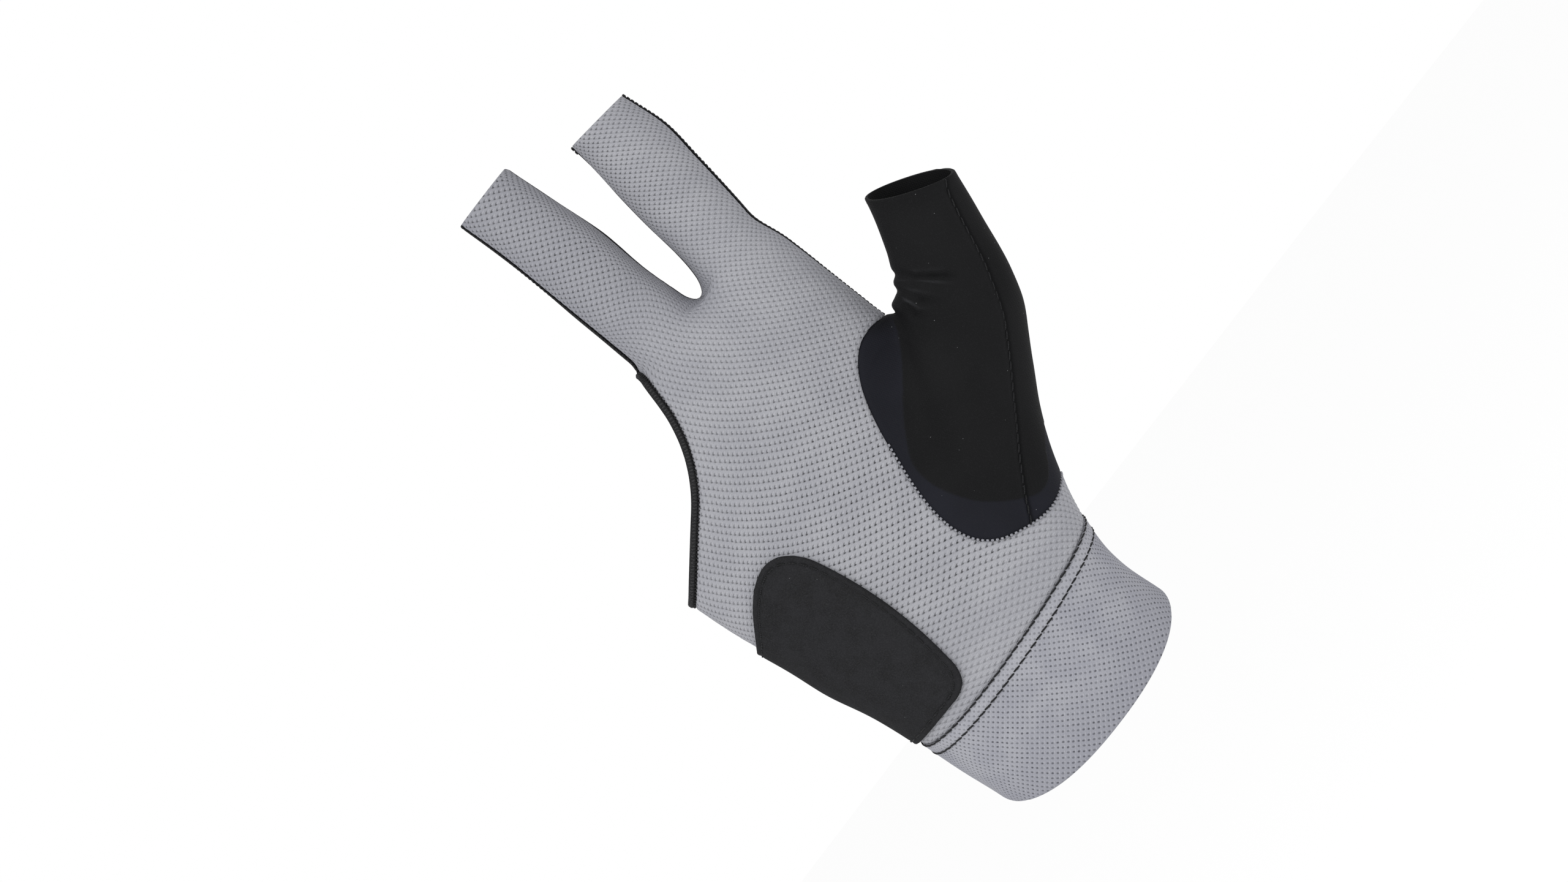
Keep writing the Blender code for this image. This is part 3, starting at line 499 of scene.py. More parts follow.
def limb_field(across, depth, along, rows, length, start, end):
    """Signed distance to a limb's skin, measured outward from its middle line."""
    row = dict(zip(SECTION_COLUMNS[1:], read_rows(rows, along / length)))
    half_width = row["wide"] * (start[0] + (end[0] - start[0]) * row["taper"]) / 2
    half_depth = row["deep"] * (start[1] + (end[1] - start[1]) * row["taper"]) / 2
    u = across - row["across"] * start[0]
    v = depth - row["forward"] * start[1]
    power = row["square"]
    reach = np.hypot(u, v) + TINY
    ratio = (np.abs(u / half_width) ** power + np.abs(v / half_depth) ** power) ** (1 / power)
    return reach * (1 - 1 / np.maximum(ratio, CORE))


def thumb_place(points):
    """A point's place along, across and in front of the thumb's root line."""
    x = points[..., 0] - THUMB_ROOT[0] * PALM_WIDTH
    z = points[..., 2] - THUMB_ROOT[1] * PALM_LENGTH
    along = x * np.sin(THUMB_LEAN) + z * np.cos(THUMB_LEAN)
    across = x * np.cos(THUMB_LEAN) - z * np.sin(THUMB_LEAN)
    return along, across, points[..., 1]


def palm_field(points):
    """The palm and wrist, rounded over at the knuckles."""
    x, y, z = np.moveaxis(points, -1, 0)
    skin = limb_field(x, y, z, PALM_SECTIONS, PALM_LENGTH,
                      (WRIST_WIDTH, WRIST_DEPTH), (PALM_WIDTH, PALM_DEPTH))
    skin = blend_max(skin, z - KNUCKLES * PALM_LENGTH, PALM_END_ROUND)
    return np.maximum(skin, PALM_START * PALM_LENGTH - z)


def finger_field(points, root, rows, length, start, end):
    """One covered finger, which starts inside the palm."""
    x, y, z = np.moveaxis(points, -1, 0)
    across = x - root[0] * PALM_WIDTH
    along = z - root[1] * PALM_LENGTH
    skin = limb_field(across, y, along, rows, length, start, end)
    skin = np.maximum(skin, along - (rows[-1][0] - END_MARGIN) * length)
    return np.maximum(skin, rows[0][0] * length - along)


def thumb_field(points):
    """The thumb and the mound at its root."""
    along, across, depth = thumb_place(points)
    skin = limb_field(across, depth, along, THUMB_SECTIONS, THUMB_LENGTH,
                      (THUMB_WIDTH, THUMB_DEPTH), (THUMB_END_WIDTH, THUMB_END_DEPTH))
    skin = np.maximum(skin, along - (THUMB_SECTIONS[-1][0] - END_MARGIN) * THUMB_LENGTH)
    return blend_max(skin, THUMB_SECTIONS[0][0] * THUMB_LENGTH - along, THUMB_ROOT_ROUND)


def hand_field(points):
    """The whole hand form: negative inside, zero on the glove's outer face."""
    index = finger_field(points, INDEX_ROOT, INDEX_SECTIONS, INDEX_LENGTH,
                         (INDEX_WIDTH, INDEX_DEPTH), (INDEX_END_WIDTH, INDEX_END_DEPTH))
    middle = finger_field(points, MIDDLE_ROOT, MIDDLE_SECTIONS, MIDDLE_LENGTH,
                          (MIDDLE_WIDTH, MIDDLE_DEPTH), (MIDDLE_END_WIDTH, MIDDLE_END_DEPTH))
    fingers = blend_min(index, middle, FORK_BLEND)
    hand = blend_min(palm_field(points), fingers, ROOT_BLEND)
    along = thumb_place(points)[0] / THUMB_LENGTH
    reach = HEEL_BLEND + (WEB_BLEND - HEEL_BLEND) * smooth_step(along, *WEB_PLACE)
    return blend_min(hand, thumb_field(points), reach)


def slope(field, points):
    """A field's gradient."""
    parts = []
    for axis in np.eye(3) * SLOPE_STEP:
        parts.append((field(points + axis) - field(points - axis)) / (2 * SLOPE_STEP))
    return np.stack(parts, -1)


def outward(points):
    """Unit normals of the hand form."""
    grad = slope(hand_field, points)
    return grad / np.linalg.norm(grad, axis=-1, keepdims=True)


def slope_along(field, points):
    """A field's gradient along the form's face."""
    normal = outward(points)
    grad = slope(field, points)
    return grad - normal * np.sum(grad * normal, -1, keepdims=True)


def settle(points, rounds=4):
    """Bring points onto the hand form."""
    for _ in range(rounds):
        grad = slope(hand_field, points)
        size = np.maximum(np.sum(grad * grad, -1, keepdims=True), LEAST_SLOPE ** 2)
        points = points - grad * hand_field(points)[..., None] / size
    return points


def distance_from(field):
    """A field scaled to be a distance near its zero line."""
    def scaled(points):
        size = np.linalg.norm(slope(field, points), axis=-1)
        return field(points) / np.maximum(size, TINY)
    return scaled


def seam_side(points):
    """Positive behind the side seam, on the back of the hand."""
    across = points[..., 0] / PALM_WIDTH
    depths = read_rows(SEAM_ROWS, points[..., 2] / PALM_LENGTH) * PALM_DEPTH
    place = np.clip(across, SEAM_PLACES[0], SEAM_PLACES[-1])
    total = np.zeros_like(place)
    for i, here in enumerate(SEAM_PLACES):
        weight = np.ones_like(place)
        if i > 0:
            weight = weight * smooth_step(place, SEAM_PLACES[i - 1], here)
        if i < len(SEAM_PLACES) - 1:
            weight = weight * (1 - smooth_step(place, here, SEAM_PLACES[i + 1]))
        total = total + weight * depths[i]
    return points[..., 1] - total


def opening_side(points):
    """Positive on the glove's side of the ring and little fingers' opening."""
    x, _, z = np.moveaxis(points, -1, 0)
    side = MIDDLE_ROOT[0] * PALM_WIDTH - MIDDLE_WIDTH / 2 - OPENING_CLEARANCE
    top = PALM_LENGTH + OPENING_RISE
    foot_side = OPENING_FOOT_INSET - PALM_WIDTH / 2
    foot = PALM_LENGTH - OPENING_DROP
    beside = (x - side) * np.cos(OPENING_TILT) - (z - top) * np.sin(OPENING_TILT)
    below = ((x - foot_side) * np.cos(OPENING_FOOT_TILT)
             - (z - foot) * np.sin(OPENING_FOOT_TILT))
    edge = blend_max(beside, below, OPENING_TURN)
    return blend_max(edge, z - top, OPENING_TOP_TURN)


def binding_side(points):
    """Positive beyond the binding, whose width is measured along the cloth."""
    size = np.linalg.norm(slope_along(opening_side, points), axis=-1)
    strip = opening_side(points) / np.maximum(size, LEAST_SLOPE) - BINDING_WIDTH
    above = points[..., 2] - PALM_LENGTH - OPENING_RISE
    return blend_max(strip, above + BINDING_WIDTH / 2, BINDING_WIDTH)


def patch_side(points):
    """Positive on the thumb sleeve, with its rounded patch in the palm."""
    along, across, _ = thumb_place(points)
    a = along - PATCH_START - PATCH_LENGTH / 2
    b = across - PATCH_SIDE
    turned_a = a * np.cos(PATCH_TURN) + b * np.sin(PATCH_TURN)
    turned_b = b * np.cos(PATCH_TURN) - a * np.sin(PATCH_TURN)
    ratio = (np.abs(turned_a / PATCH_LENGTH * 2) ** PATCH_SQUARE
             + np.abs(turned_b / PATCH_WIDTH * 2) ** PATCH_SQUARE) ** (1 / PATCH_SQUARE)
    patch = (1 - ratio) * PATCH_WIDTH / 2
    stalk = np.minimum(across - CROTCH_PLACE[1] * THUMB_WIDTH,
                       along - CROTCH_PLACE[0] * THUMB_LENGTH)
    outer = np.minimum(across - PATCH_SIDE, along - PATCH_OUTER_START)
    return np.maximum(np.maximum(patch, stalk), outer)


def cuff_side(points):
    """Positive above the cuff's upper seam."""
    lean = np.minimum(points[..., 1] / (WRIST_DEPTH / 2), CUFF_TOP_LEVEL)
    line = CUFF_HEIGHT + CUFF_TOP_DIP * lean + CUFF_TOP_SLOPE * points[..., 0]
    return points[..., 2] - line


def hem_side(points):
    """Positive above the cuff's hem, which dips over the palm side."""
    front = points[..., 1] / (WRIST_DEPTH / 2)
    lean = (front - np.hypot(front, HEM_EASE)) / 2
    return points[..., 2] - HEM_RISE - HEM_DIP * lean


def index_end(points):
    """Positive below the index finger's open end."""
    shift = INDEX_SECTIONS[-2][1] * INDEX_WIDTH
    x = points[..., 0] - INDEX_ROOT[0] * PALM_WIDTH - shift
    z = points[..., 2] - INDEX_ROOT[1] * PALM_LENGTH - INDEX_LENGTH
    return -(z + INDEX_END_SLOPE * x - FINGER_END_LEAN * points[..., 1])


def middle_end(points):
    """Positive below the middle finger's open end."""
    z = points[..., 2] - MIDDLE_ROOT[1] * PALM_LENGTH - MIDDLE_LENGTH
    return -(z - FINGER_END_LEAN * points[..., 1])


def thumb_end(points):
    """Positive below the thumb's open end, which leans toward the palm side."""
    along, across, depth = thumb_place(points)
    middle = THUMB_SECTIONS[-2][2] * THUMB_DEPTH
    return THUMB_LENGTH + THUMB_END_LEAN * (depth - middle) - along


def pad_side(points):
    """Positive inside the heel pad's outline."""
    x = points[..., 0] + PALM_WIDTH / 2
    z = points[..., 2] - CUFF_HEIGHT
    bow = (z - PAD_BOW_PLACE * PAD_LENGTH) / (PAD_LENGTH / 2)
    edge = x - PAD_WIDTH + PAD_BOW * bow ** 2
    foot = -z
    head = z - PAD_LENGTH
    bevel = (head - x + PAD_BEVEL) / np.sqrt(2)
    outside = blend_max(edge, foot, PAD_CORNER)
    outside = blend_max(outside, head, 2 * PAD_CORNER)
    return -blend_max(outside, bevel, 1.4 * PAD_CORNER)


def fold_offset(points):
    """How far the thumb sleeve's face swells between its creases and sinks into them."""
    along, across, depth = thumb_place(points)
    size = np.array((THUMB_LENGTH, THUMB_WIDTH))
    place = np.stack((along, across), -1)
    sink = np.zeros_like(along)
    for start_a, start_b, end_a, end_b, first, last in FOLD_ROWS:
        start = (start_a, start_b) * size
        run = (end_a, end_b) * size - start
        offset = place - start
        t = np.clip(offset @ run / (run @ run), 0, 1)
        gap = np.linalg.norm(offset - t[..., None] * run, axis=-1)
        sink = np.maximum(sink, (first + (last - first) * t) * bell(gap, FOLD_WIDTH))
    swell = np.zeros_like(along)
    for middle_a, middle_b, reach, height in SWELL_ROWS:
        gap = np.linalg.norm(place - (middle_a, middle_b) * size, axis=-1)
        swell = swell + height * bell(gap, reach * THUMB_WIDTH)
    front = 1 - smooth_step(depth / THUMB_DEPTH, 0, FOLD_BACK)
    return FOLD_DEPTH * front * (swell - sink)


def edge_table(faces):
    """Each edge once, with the edge number of each face's three sides."""
    sides = np.sort(faces[:, [0, 1, 1, 2, 2, 0]].reshape(-1, 2), axis=1)
    edges, number = np.unique(sides, axis=0, return_inverse=True)
    return edges, number.reshape(-1, 3)


def wrap_form(cell):
    """A triangle mesh of the whole hand form, one vertex to each grid cell it crosses."""
    reach = max(INDEX_LENGTH, MIDDLE_LENGTH) * 1.25
    low = np.array((-0.62 * PALM_WIDTH, -max(WRIST_DEPTH, PALM_DEPTH, 1.5 * THUMB_DEPTH),
                    -0.18 * PALM_LENGTH))
    high = np.array((0.36 * PALM_WIDTH + 0.75 * THUMB_LENGTH + THUMB_WIDTH,
                     max(WRIST_DEPTH, PALM_DEPTH, THUMB_DEPTH),
                     max(PALM_LENGTH + reach, 0.36 * PALM_LENGTH + 1.3 * THUMB_LENGTH)))
    count = np.ceil((high - low) / cell).astype(int) + 1
    axes = [low[i] + cell * np.arange(count[i]) for i in range(3)]
    grid = np.stack(np.meshgrid(*axes, indexing="ij"), -1)
    value = hand_field(grid)
    inside = value < 0
    total = np.zeros(tuple(count - 1) + (3,))
    hits = np.zeros(tuple(count - 1))
    crossings = []
    for axis in range(3):
        first = tuple(slice(0, -1) if i == axis else slice(None) for i in range(3))
        second = tuple(slice(1, None) if i == axis else slice(None) for i in range(3))
        where = np.argwhere(inside[first] != inside[second])
        a = value[first][tuple(where.T)]
        b = value[second][tuple(where.T)]
        points = grid[first][tuple(where.T)]
        points[:, axis] += cell * a / (a - b)
        crossings.append((axis, where, a < 0))
        others = [i for i in range(3) if i != axis]
        for shift_a in (0, -1):
            for shift_b in (0, -1):
                spot = where.copy()
                spot[:, others[0]] += shift_a
                spot[:, others[1]] += shift_b
                good = np.all((spot >= 0) & (spot < count - 1), axis=1)
                np.add.at(total, tuple(spot[good].T), points[good])
                np.add.at(hits, tuple(spot[good].T), 1)
    used = hits > 0
    number = np.full(hits.shape, -1)
    number[used] = np.arange(used.sum())
    verts = total[used] / hits[used][:, None]
    quads = []
    for axis, where, outward_first in crossings:
        b, c = [(axis + 1) % 3, (axis + 2) % 3]
        corners = []
        for shift_b, shift_c in ((0, 0), (-1, 0), (-1, -1), (0, -1)):
            spot = where.copy()
            spot[:, b] += shift_b
            spot[:, c] += shift_c
            spot = np.clip(spot, 0, count - 2)
            corners.append(number[tuple(spot.T)])
        quad = np.stack(corners, -1)
        quad[~outward_first] = quad[~outward_first][:, ::-1]
        quads.append(quad)
    quads = np.concatenate(quads)
    interior = np.all(quads >= 0, axis=1)
    quads = quads[interior]
    return settle(verts), quads


def relax(verts, faces, rounds):
    """Even out a mesh by moving each vertex toward its neighbours, on the form."""
    edges, _ = edge_table(faces)
    for _ in range(rounds):
        total = np.zeros_like(verts)
        count = np.zeros((len(verts), 1))
        for a, b in ((0, 1), (1, 0)):
            np.add.at(total, edges[:, a], verts[edges[:, b]])
            np.add.at(count, edges[:, a], 1)
        verts = settle(verts + 0.5 * (total / np.maximum(count, 1) - verts), 2)
    return verts


def cut_quads(verts, quads):
    """Two triangles from each quad, along its shorter diagonal."""
    corner = verts[quads]
    first = np.linalg.norm(corner[:, 0] - corner[:, 2], axis=1)
    second = np.linalg.norm(corner[:, 1] - corner[:, 3], axis=1)
    swap = first > second
    turned = np.where(swap[:, None], np.roll(quads, -1, axis=1), quads)
    return np.concatenate((turned[:, [0, 1, 2]], turned[:, [0, 2, 3]]))


class Skin:
    """The hand form's mesh, cut along lines into panels that share their edges."""

    def __init__(self, verts, faces):
        self.verts = verts
        self.faces = faces
        self.locked = np.zeros(len(verts), bool)

    def typical_edge(self):
        """The mean edge length at each vertex."""
        edges, _ = edge_table(self.faces)
        length = np.linalg.norm(self.verts[edges[:, 0]] - self.verts[edges[:, 1]], axis=1)
        total = np.zeros(len(self.verts))
        count = np.zeros(len(self.verts))
        for side in (0, 1):
            np.add.at(total, edges[:, side], length)
            np.add.at(count, edges[:, side], 1)
        return total / np.maximum(count, 1)

    def pull(self, points, field, rounds=4):
        """Slide points over the form onto a field's zero line."""
        for _ in range(rounds):
            grad = slope_along(field, points)
            size = np.maximum(np.sum(grad * grad, -1, keepdims=True), LEAST_SLOPE ** 2)
            points = settle(points - grad * field(points)[..., None] / size, 2)
        return points

    def cut(self, field, among):
        """Cut the faces marked in among along a field; return the mark of every face."""
        value = field(self.verts)
        edge = self.typical_edge()
        touched = np.zeros(len(self.verts), bool)
        touched[self.faces[among].ravel()] = True
        near = touched & ~self.locked & (np.abs(value) < NEAR_CUT * edge)
        if near.any():
            moved = self.pull(self.verts[near], field)
            far = np.linalg.norm(moved - self.verts[near], axis=1) > FAR_PULL * edge[near]
            moved[far] = self.verts[near][far]
            self.verts[near] = moved
            value[near] = np.where(far, value[near], 0.0)
        value[touched & self.locked & (np.abs(value) < ON_LINE)] = 0.0
        sign = np.sign(value).astype(int)
        edges, number = edge_table(self.faces)
        split = sign[edges[:, 0]] * sign[edges[:, 1]] < 0
        use = np.zeros(len(edges), bool)
        use[number[among].ravel()] = True
        split = split & use
        a, b = value[edges[split, 0]], value[edges[split, 1]]
        share = (a / (a - b))[:, None]
        ends = self.verts[edges[split]]
        points = ends[:, 0] * (1 - share) + ends[:, 1] * share
        border = self.locked[edges[split, 0]] & self.locked[edges[split, 1]]
        if (~border).any():
            points[~border] = self.pull(settle(points[~border]), field)
        middle = np.full(len(edges), -1)
        middle[split] = len(self.verts) + np.arange(split.sum())
        on_line = touched & (sign == 0)
        self.locked = np.concatenate((self.locked | on_line, np.ones(split.sum(), bool)))
        self.verts = np.concatenate((self.verts, points))
        faces, origin, side = [], [], []
        for i, ((p, q, r), (pq, qr, rp)) in enumerate(zip(self.faces, middle[number])):
            marks = int(pq >= 0) + int(qr >= 0) + int(rp >= 0)
            while marks and (pq < 0 or (marks == 2 and rp >= 0)):
                p, q, r, pq, qr, rp = q, r, p, qr, rp, pq
            if marks == 0:
                found = [((p, q, r), sign[p] + sign[q] + sign[r])]
            elif marks == 1:
                found = [((p, pq, r), sign[p]), ((pq, q, r), sign[q])]
            elif marks == 2:
                found = [((pq, q, qr), sign[q]), ((p, pq, qr), sign[p]), ((p, qr, r), sign[p])]
            for face, mark in found:
                faces.append(face)
                origin.append(i)
                side.append(mark > 0)
        self.faces = np.array(faces)
        return np.array(origin), np.array(side)


def boundary_loops(faces):
    """Directed edges that only one face uses."""
    sides = faces[:, [0, 1, 1, 2, 2, 0]].reshape(-1, 2)
    key = sides[:, 0].astype(np.int64) * (faces.max() + 1) + sides[:, 1]
    back = sides[:, 1].astype(np.int64) * (faces.max() + 1) + sides[:, 0]
    return sides[~np.isin(key, back)]


def inset(verts, faces, normals, amount):
    """Draw a sheet's boundary in by an amount, along its face."""
    rim = boundary_loops(faces)
    run = verts[rim[:, 1]] - verts[rim[:, 0]]
    run /= np.maximum(np.linalg.norm(run, axis=1, keepdims=True), TINY)
    side = [np.cross(normals[rim[:, i]], run) for i in (0, 1)]
    total = np.zeros_like(verts)
    for i in (0, 1):
        unit = side[i] / np.linalg.norm(side[i], axis=1, keepdims=True)
        np.add.at(total, rim[:, i], unit)
    square = np.sum(total * total, axis=1)
    moved = square > 0
    result = verts.copy()
    scale = 2 / np.maximum(square[moved], SHARPEST)
    result[moved] += total[moved] * (scale * amount)[:, None]
    return result


def split_in_four(verts, faces):
    """Each triangle in four. Edge points on the boundary follow its curve."""
    edges, number = edge_table(faces)
    points = verts[edges].mean(axis=1)
    rim = boundary_loops(faces)
    after = np.full(len(verts), -1)
    before = np.full(len(verts), -1)
    after[rim[:, 0]] = rim[:, 1]
    before[rim[:, 1]] = rim[:, 0]
    p, q = rim.T
    back = verts[before[p]]
    ahead = verts[after[q]]
    run = verts[q] - verts[p]
    length = np.linalg.norm(run, axis=1)

    def bends(other):
        size = np.linalg.norm(other, axis=1)
        return np.sum(other * run, axis=1) < STRAIGHT * size * length

    back[bends(verts[p] - back)] = (2 * verts[p] - verts[q])[bends(verts[p] - back)]
    ahead[bends(ahead - verts[q])] = (2 * verts[q] - verts[p])[bends(ahead - verts[q])]
    middle = (9 * (verts[p] + verts[q]) - back - ahead) / 16
    key = np.sort(rim, axis=1) @ (len(verts), 1)
    order = np.searchsorted(edges @ np.array((len(verts), 1)), key)
    points[order] = middle
    a, b, c = faces.T
    ab, bc, ca = number.T + len(verts)
    corners = ((a, ab, ca), (ab, b, bc), (ca, bc, c), (ab, bc, ca))
    divided = np.concatenate([np.stack(corner, -1) for corner in corners])
    return np.concatenate((verts, settle(points, 3))), divided


class Sheet:
    """One panel's fine mesh: its points on the form, their normals and rim distances."""

    def __init__(self, skin, chosen, levels):
        used, local = np.unique(skin.faces[chosen], return_inverse=True)
        verts = skin.verts[used]
        faces = local.reshape(-1, 3)
        verts = inset(verts, faces, outward(verts), SEAM_LEFT)
        for _ in range(levels):
            self.coarse = faces
            verts, faces = split_in_four(verts, faces)
        self.verts = verts
        self.faces = faces
        self.normals = outward(verts)
        self.rim = boundary_loops(faces)
        self.edge = distance_to(verts, verts[np.unique(self.rim)])

    def area(self):
        """The area of the face in square metres."""
        a, b, c = np.moveaxis(self.verts[self.faces], 1, 0)
        return float(np.linalg.norm(np.cross(b - a, c - a), axis=1).sum() / 2)

    def unrolled(self, radius=SIDE_ROUND):
        """Places (x, z) with the sides laid out flat beside the palm."""
        turn = np.arctan2(self.normals[:, 0], -self.normals[:, 1])
        x = self.verts[:, 0] + radius * (turn - self.normals[:, 0])
        return np.stack((x, self.verts[:, 2]), -1)

    def solid(self, outer_lift, inner_lift):
        """A closed wall: the outer face fine, the inner one a level coarser."""
        outer = self.verts + self.normals * outer_lift[:, None]
        kept = np.unique(self.coarse)
        place = np.full(len(self.verts), -1)
        place[kept] = len(outer) + np.arange(len(kept))
        lift = np.broadcast_to(inner_lift, len(self.verts))
        inner = (self.verts + self.normals * lift[:, None])[kept]
        coarse_rim = boundary_loops(self.coarse)
        after = np.full(len(self.verts), -1)
        after[self.rim[:, 0]] = self.rim[:, 1]
        a, b = coarse_rim.T
        middle = after[a]
        sides = np.concatenate((
            np.stack((middle, a, place[a]), -1),
            np.stack((middle, place[a], place[b]), -1),
            np.stack((b, middle, place[b]), -1)))
        faces = np.concatenate((self.faces, place[self.coarse][:, ::-1], sides))
        return np.concatenate((outer, inner)), faces, kept


def distance_to(points, targets):
    """The distance from each point to the nearest of the targets."""
    tree = KDTree(len(targets))
    for i, target in enumerate(targets):
        tree.insert(target, i)
    tree.balance()
    return np.array([tree.find(point)[2] for point in points])


def warp(places, origin, low, high, *sums):
    """Each sum of powers at the places, held in a box and straight beyond it."""
    at = (places - origin) / KNIT_SPAN
    held = np.clip(at, low, high)
    x, z = held.T
    past = (at - held).T
    result = []
    for shares in sums:
        value = np.zeros(len(places))
        for (i, j), share in zip(POWERS, shares):
            along_x = i * x ** max(i - 1, 0) * z ** j
            along_z = j * x ** i * z ** max(j - 1, 0)
            value += share * (x ** i * z ** j + along_x * past[0] + along_z * past[1])
        result.append(value * KNIT_SPAN)
    return np.stack(result, -1)


def knit_places(places):
    """Where each place of the palm panel is in the knit, along a row and across rows."""
    x, z = places.T
    side = smooth_step(x, *KNIT_SIDE)
    index = (smooth_step(z, *INDEX_JOIN) * side)[:, None]
    middle = (smooth_step(z, *MIDDLE_JOIN) * (1 - side))[:, None]
    return (warp(places, *PALM_KNIT) * (1 - index - middle)
            + (warp(places, *INDEX_KNIT) + INDEX_SHIFT) * index
            + (warp(places, *MIDDLE_KNIT) + MIDDLE_SHIFT) * middle)


def waves(points, height, scale, seed):
    """Smooth low waves from a few sines, between about minus and plus the height."""
    random = np.random.default_rng(seed)
    total = np.zeros(len(points))
    for _ in range(7):
        direction = random.normal(size=3)
        direction /= np.linalg.norm(direction)
        wave = 2 * np.pi / (scale * random.uniform(0.7, 1.5))
        total += np.sin(points @ direction * wave + random.uniform(0, 6.28))
    return height * (total / 3.5)


def make_object(name, verts, faces, material, corners=None, marks=None):
    """A piece that rides on the root body, with its cloth places and marks."""
    mesh = bpy.data.meshes.new(name)
    mesh.from_pydata(verts.tolist(), [], faces.tolist())
    mesh.shade_smooth()
    mesh.set_sharp_from_angle(angle=SHARP_ANGLE)
    if corners is not None:
        layer = mesh.uv_layers.new(name="Cloth")
        layer.uv.foreach_set("vector", corners.astype(np.float32).ravel())
    for mark, values in (marks or {}).items():
        layer = mesh.attributes.new(mark, "FLOAT", "POINT")
        layer.data.foreach_set("value", values.astype(np.float32))
    mesh.materials.append(material)
    piece = bpy.data.objects.new(name, mesh)
    bpy.context.scene.collection.objects.link(piece)
    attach(piece, "root")
    return piece


class Value:
    """A number, place or colour in a material, which sums and products can use."""

    def __init__(self, graph, socket):
        self.graph = graph
        self.socket = socket

    def __add__(self, other):
        return self.graph.math("ADD", self, other)

    def __sub__(self, other):
        return self.graph.math("SUBTRACT", self, other)

    def __mul__(self, other):
        return self.graph.math("MULTIPLY", self, other)

    def __truediv__(self, other):
        return self.graph.math("DIVIDE", self, other)


class Graph:
    """One material's nodes."""

    def __init__(self, name, roughness, specular):
        self.material = bpy.data.materials.new(name)
        self.material.use_nodes = True
        self.nodes = self.material.node_tree.nodes
        self.links = self.material.node_tree.links
        self.shader = self.nodes["Principled BSDF"]
        self.shader.inputs["Roughness"].default_value = roughness
        self.shader.inputs["Metallic"].default_value = 0.0
        self.shader.inputs["Specular IOR Level"].default_value = specular

    def put(self, socket, value):
        if isinstance(value, Value):
            self.links.new(value.socket, socket)
        else:
            socket.default_value = value

    def node(self, kind, values, output=0, **settings):
        """A new node with its settings and inputs; return one of its outputs."""
        node = self.nodes.new("ShaderNode" + kind)
        for name, setting in settings.items():
            setattr(node, name, setting)
        for name, value in values.items():
            self.put(node.inputs[name], value)
        return Value(self, node.outputs[output])

    def math(self, operation, *values):
        return self.node("Math", dict(enumerate(values)), operation=operation)

    def most(self, a, b):
        return self.math("MAXIMUM", a, b)

    def ramp(self, value, low, high, start=0.0, end=1.0):
        return self.node("MapRange", dict(enumerate((value, low, high, start, end))),
                         interpolation_type="SMOOTHSTEP")

    def millimetres(self, vector):
        return self.node("VectorMath", {0: vector, "Scale": 1000.0}, operation="SCALE")

    def cloth_place(self):
        """Flat places on the cloth, in millimetres."""
        return self.millimetres(self.node("UVMap", {}, "UV", uv_map="Cloth"))

    def place(self):
        """Places in the object, in millimetres."""
        return self.millimetres(self.node("TexCoord", {}, "Object"))

    def parts(self, vector):
        first = self.node("SeparateXYZ", {0: vector})
        return [Value(self, socket) for socket in first.socket.node.outputs]

    def noise(self, vector, size, detail=2.0, roughness=0.5):
        """Noise whose lumps are size millimetres across."""
        return self.node("TexNoise", {"Vector": vector, "Scale": 1.0 / size, "Detail": detail,
                                      "Roughness": roughness})

    def mark(self, name):
        return self.node("Attribute", {}, "Fac", attribute_name=name)

    def mix(self, share, a, b):
        return self.node("Mix", {0: share, 6: a, 7: b}, 2, data_type="RGBA")

    def cell(self, u, v, pitch, row, shift):
        """Place inside a knit cell, from -0.5 to 0.5, with every other row shifted."""
        line = v / row
        odd = self.math("FLOORED_MODULO", self.math("FLOOR", line), 2.0) * shift
        return self.math("FRACT", u / pitch + odd) - 0.5, self.math("FRACT", line) - 0.5

    def spot(self, a, b, centre, half, soft):
        """1 inside a soft dot of the cell, 0 outside."""
        x = (a - centre[0]) / half[0]
        y = (b - centre[1]) / half[1]
        return self.ramp(self.math("SQRT", x * x + y * y), 1.0 + soft, 1.0 - soft)

    def flecks(self, vector, spacing, size, share):
        """Sharp specks of lint: share of the cells a spacing apart has one."""
        cells = self.node("TexVoronoi", {"Vector": vector, "Scale": 1.0 / spacing}, "Distance")
        colour = Value(self, cells.socket.node.outputs["Color"])
        chosen = self.math("LESS_THAN", self.parts(colour)[0], share)
        return chosen * self.ramp(cells, size, 0.4 * size)

    def finish(self, colour, height, depth):
        """Colour and relief in metres onto the shader."""
        bump = self.node("Bump", {"Strength": 1.0, "Distance": depth, "Height": height})
        self.put(self.shader.inputs["Normal"], bump)
        self.put(self.shader.inputs["Base Color"], colour)
        return self.material


def grey(value, blue=0.0):
    """A colour from an sRGB grey level of 0 to 255, a little bluer if asked."""
    levels = np.array((value, value + 0.1 * blue, value + blue)) / 255
    linear = np.where(levels > 0.04045, ((levels + 0.055) / 1.055) ** 2.4, levels / 12.92)
    return (*linear.tolist(), 1.0)


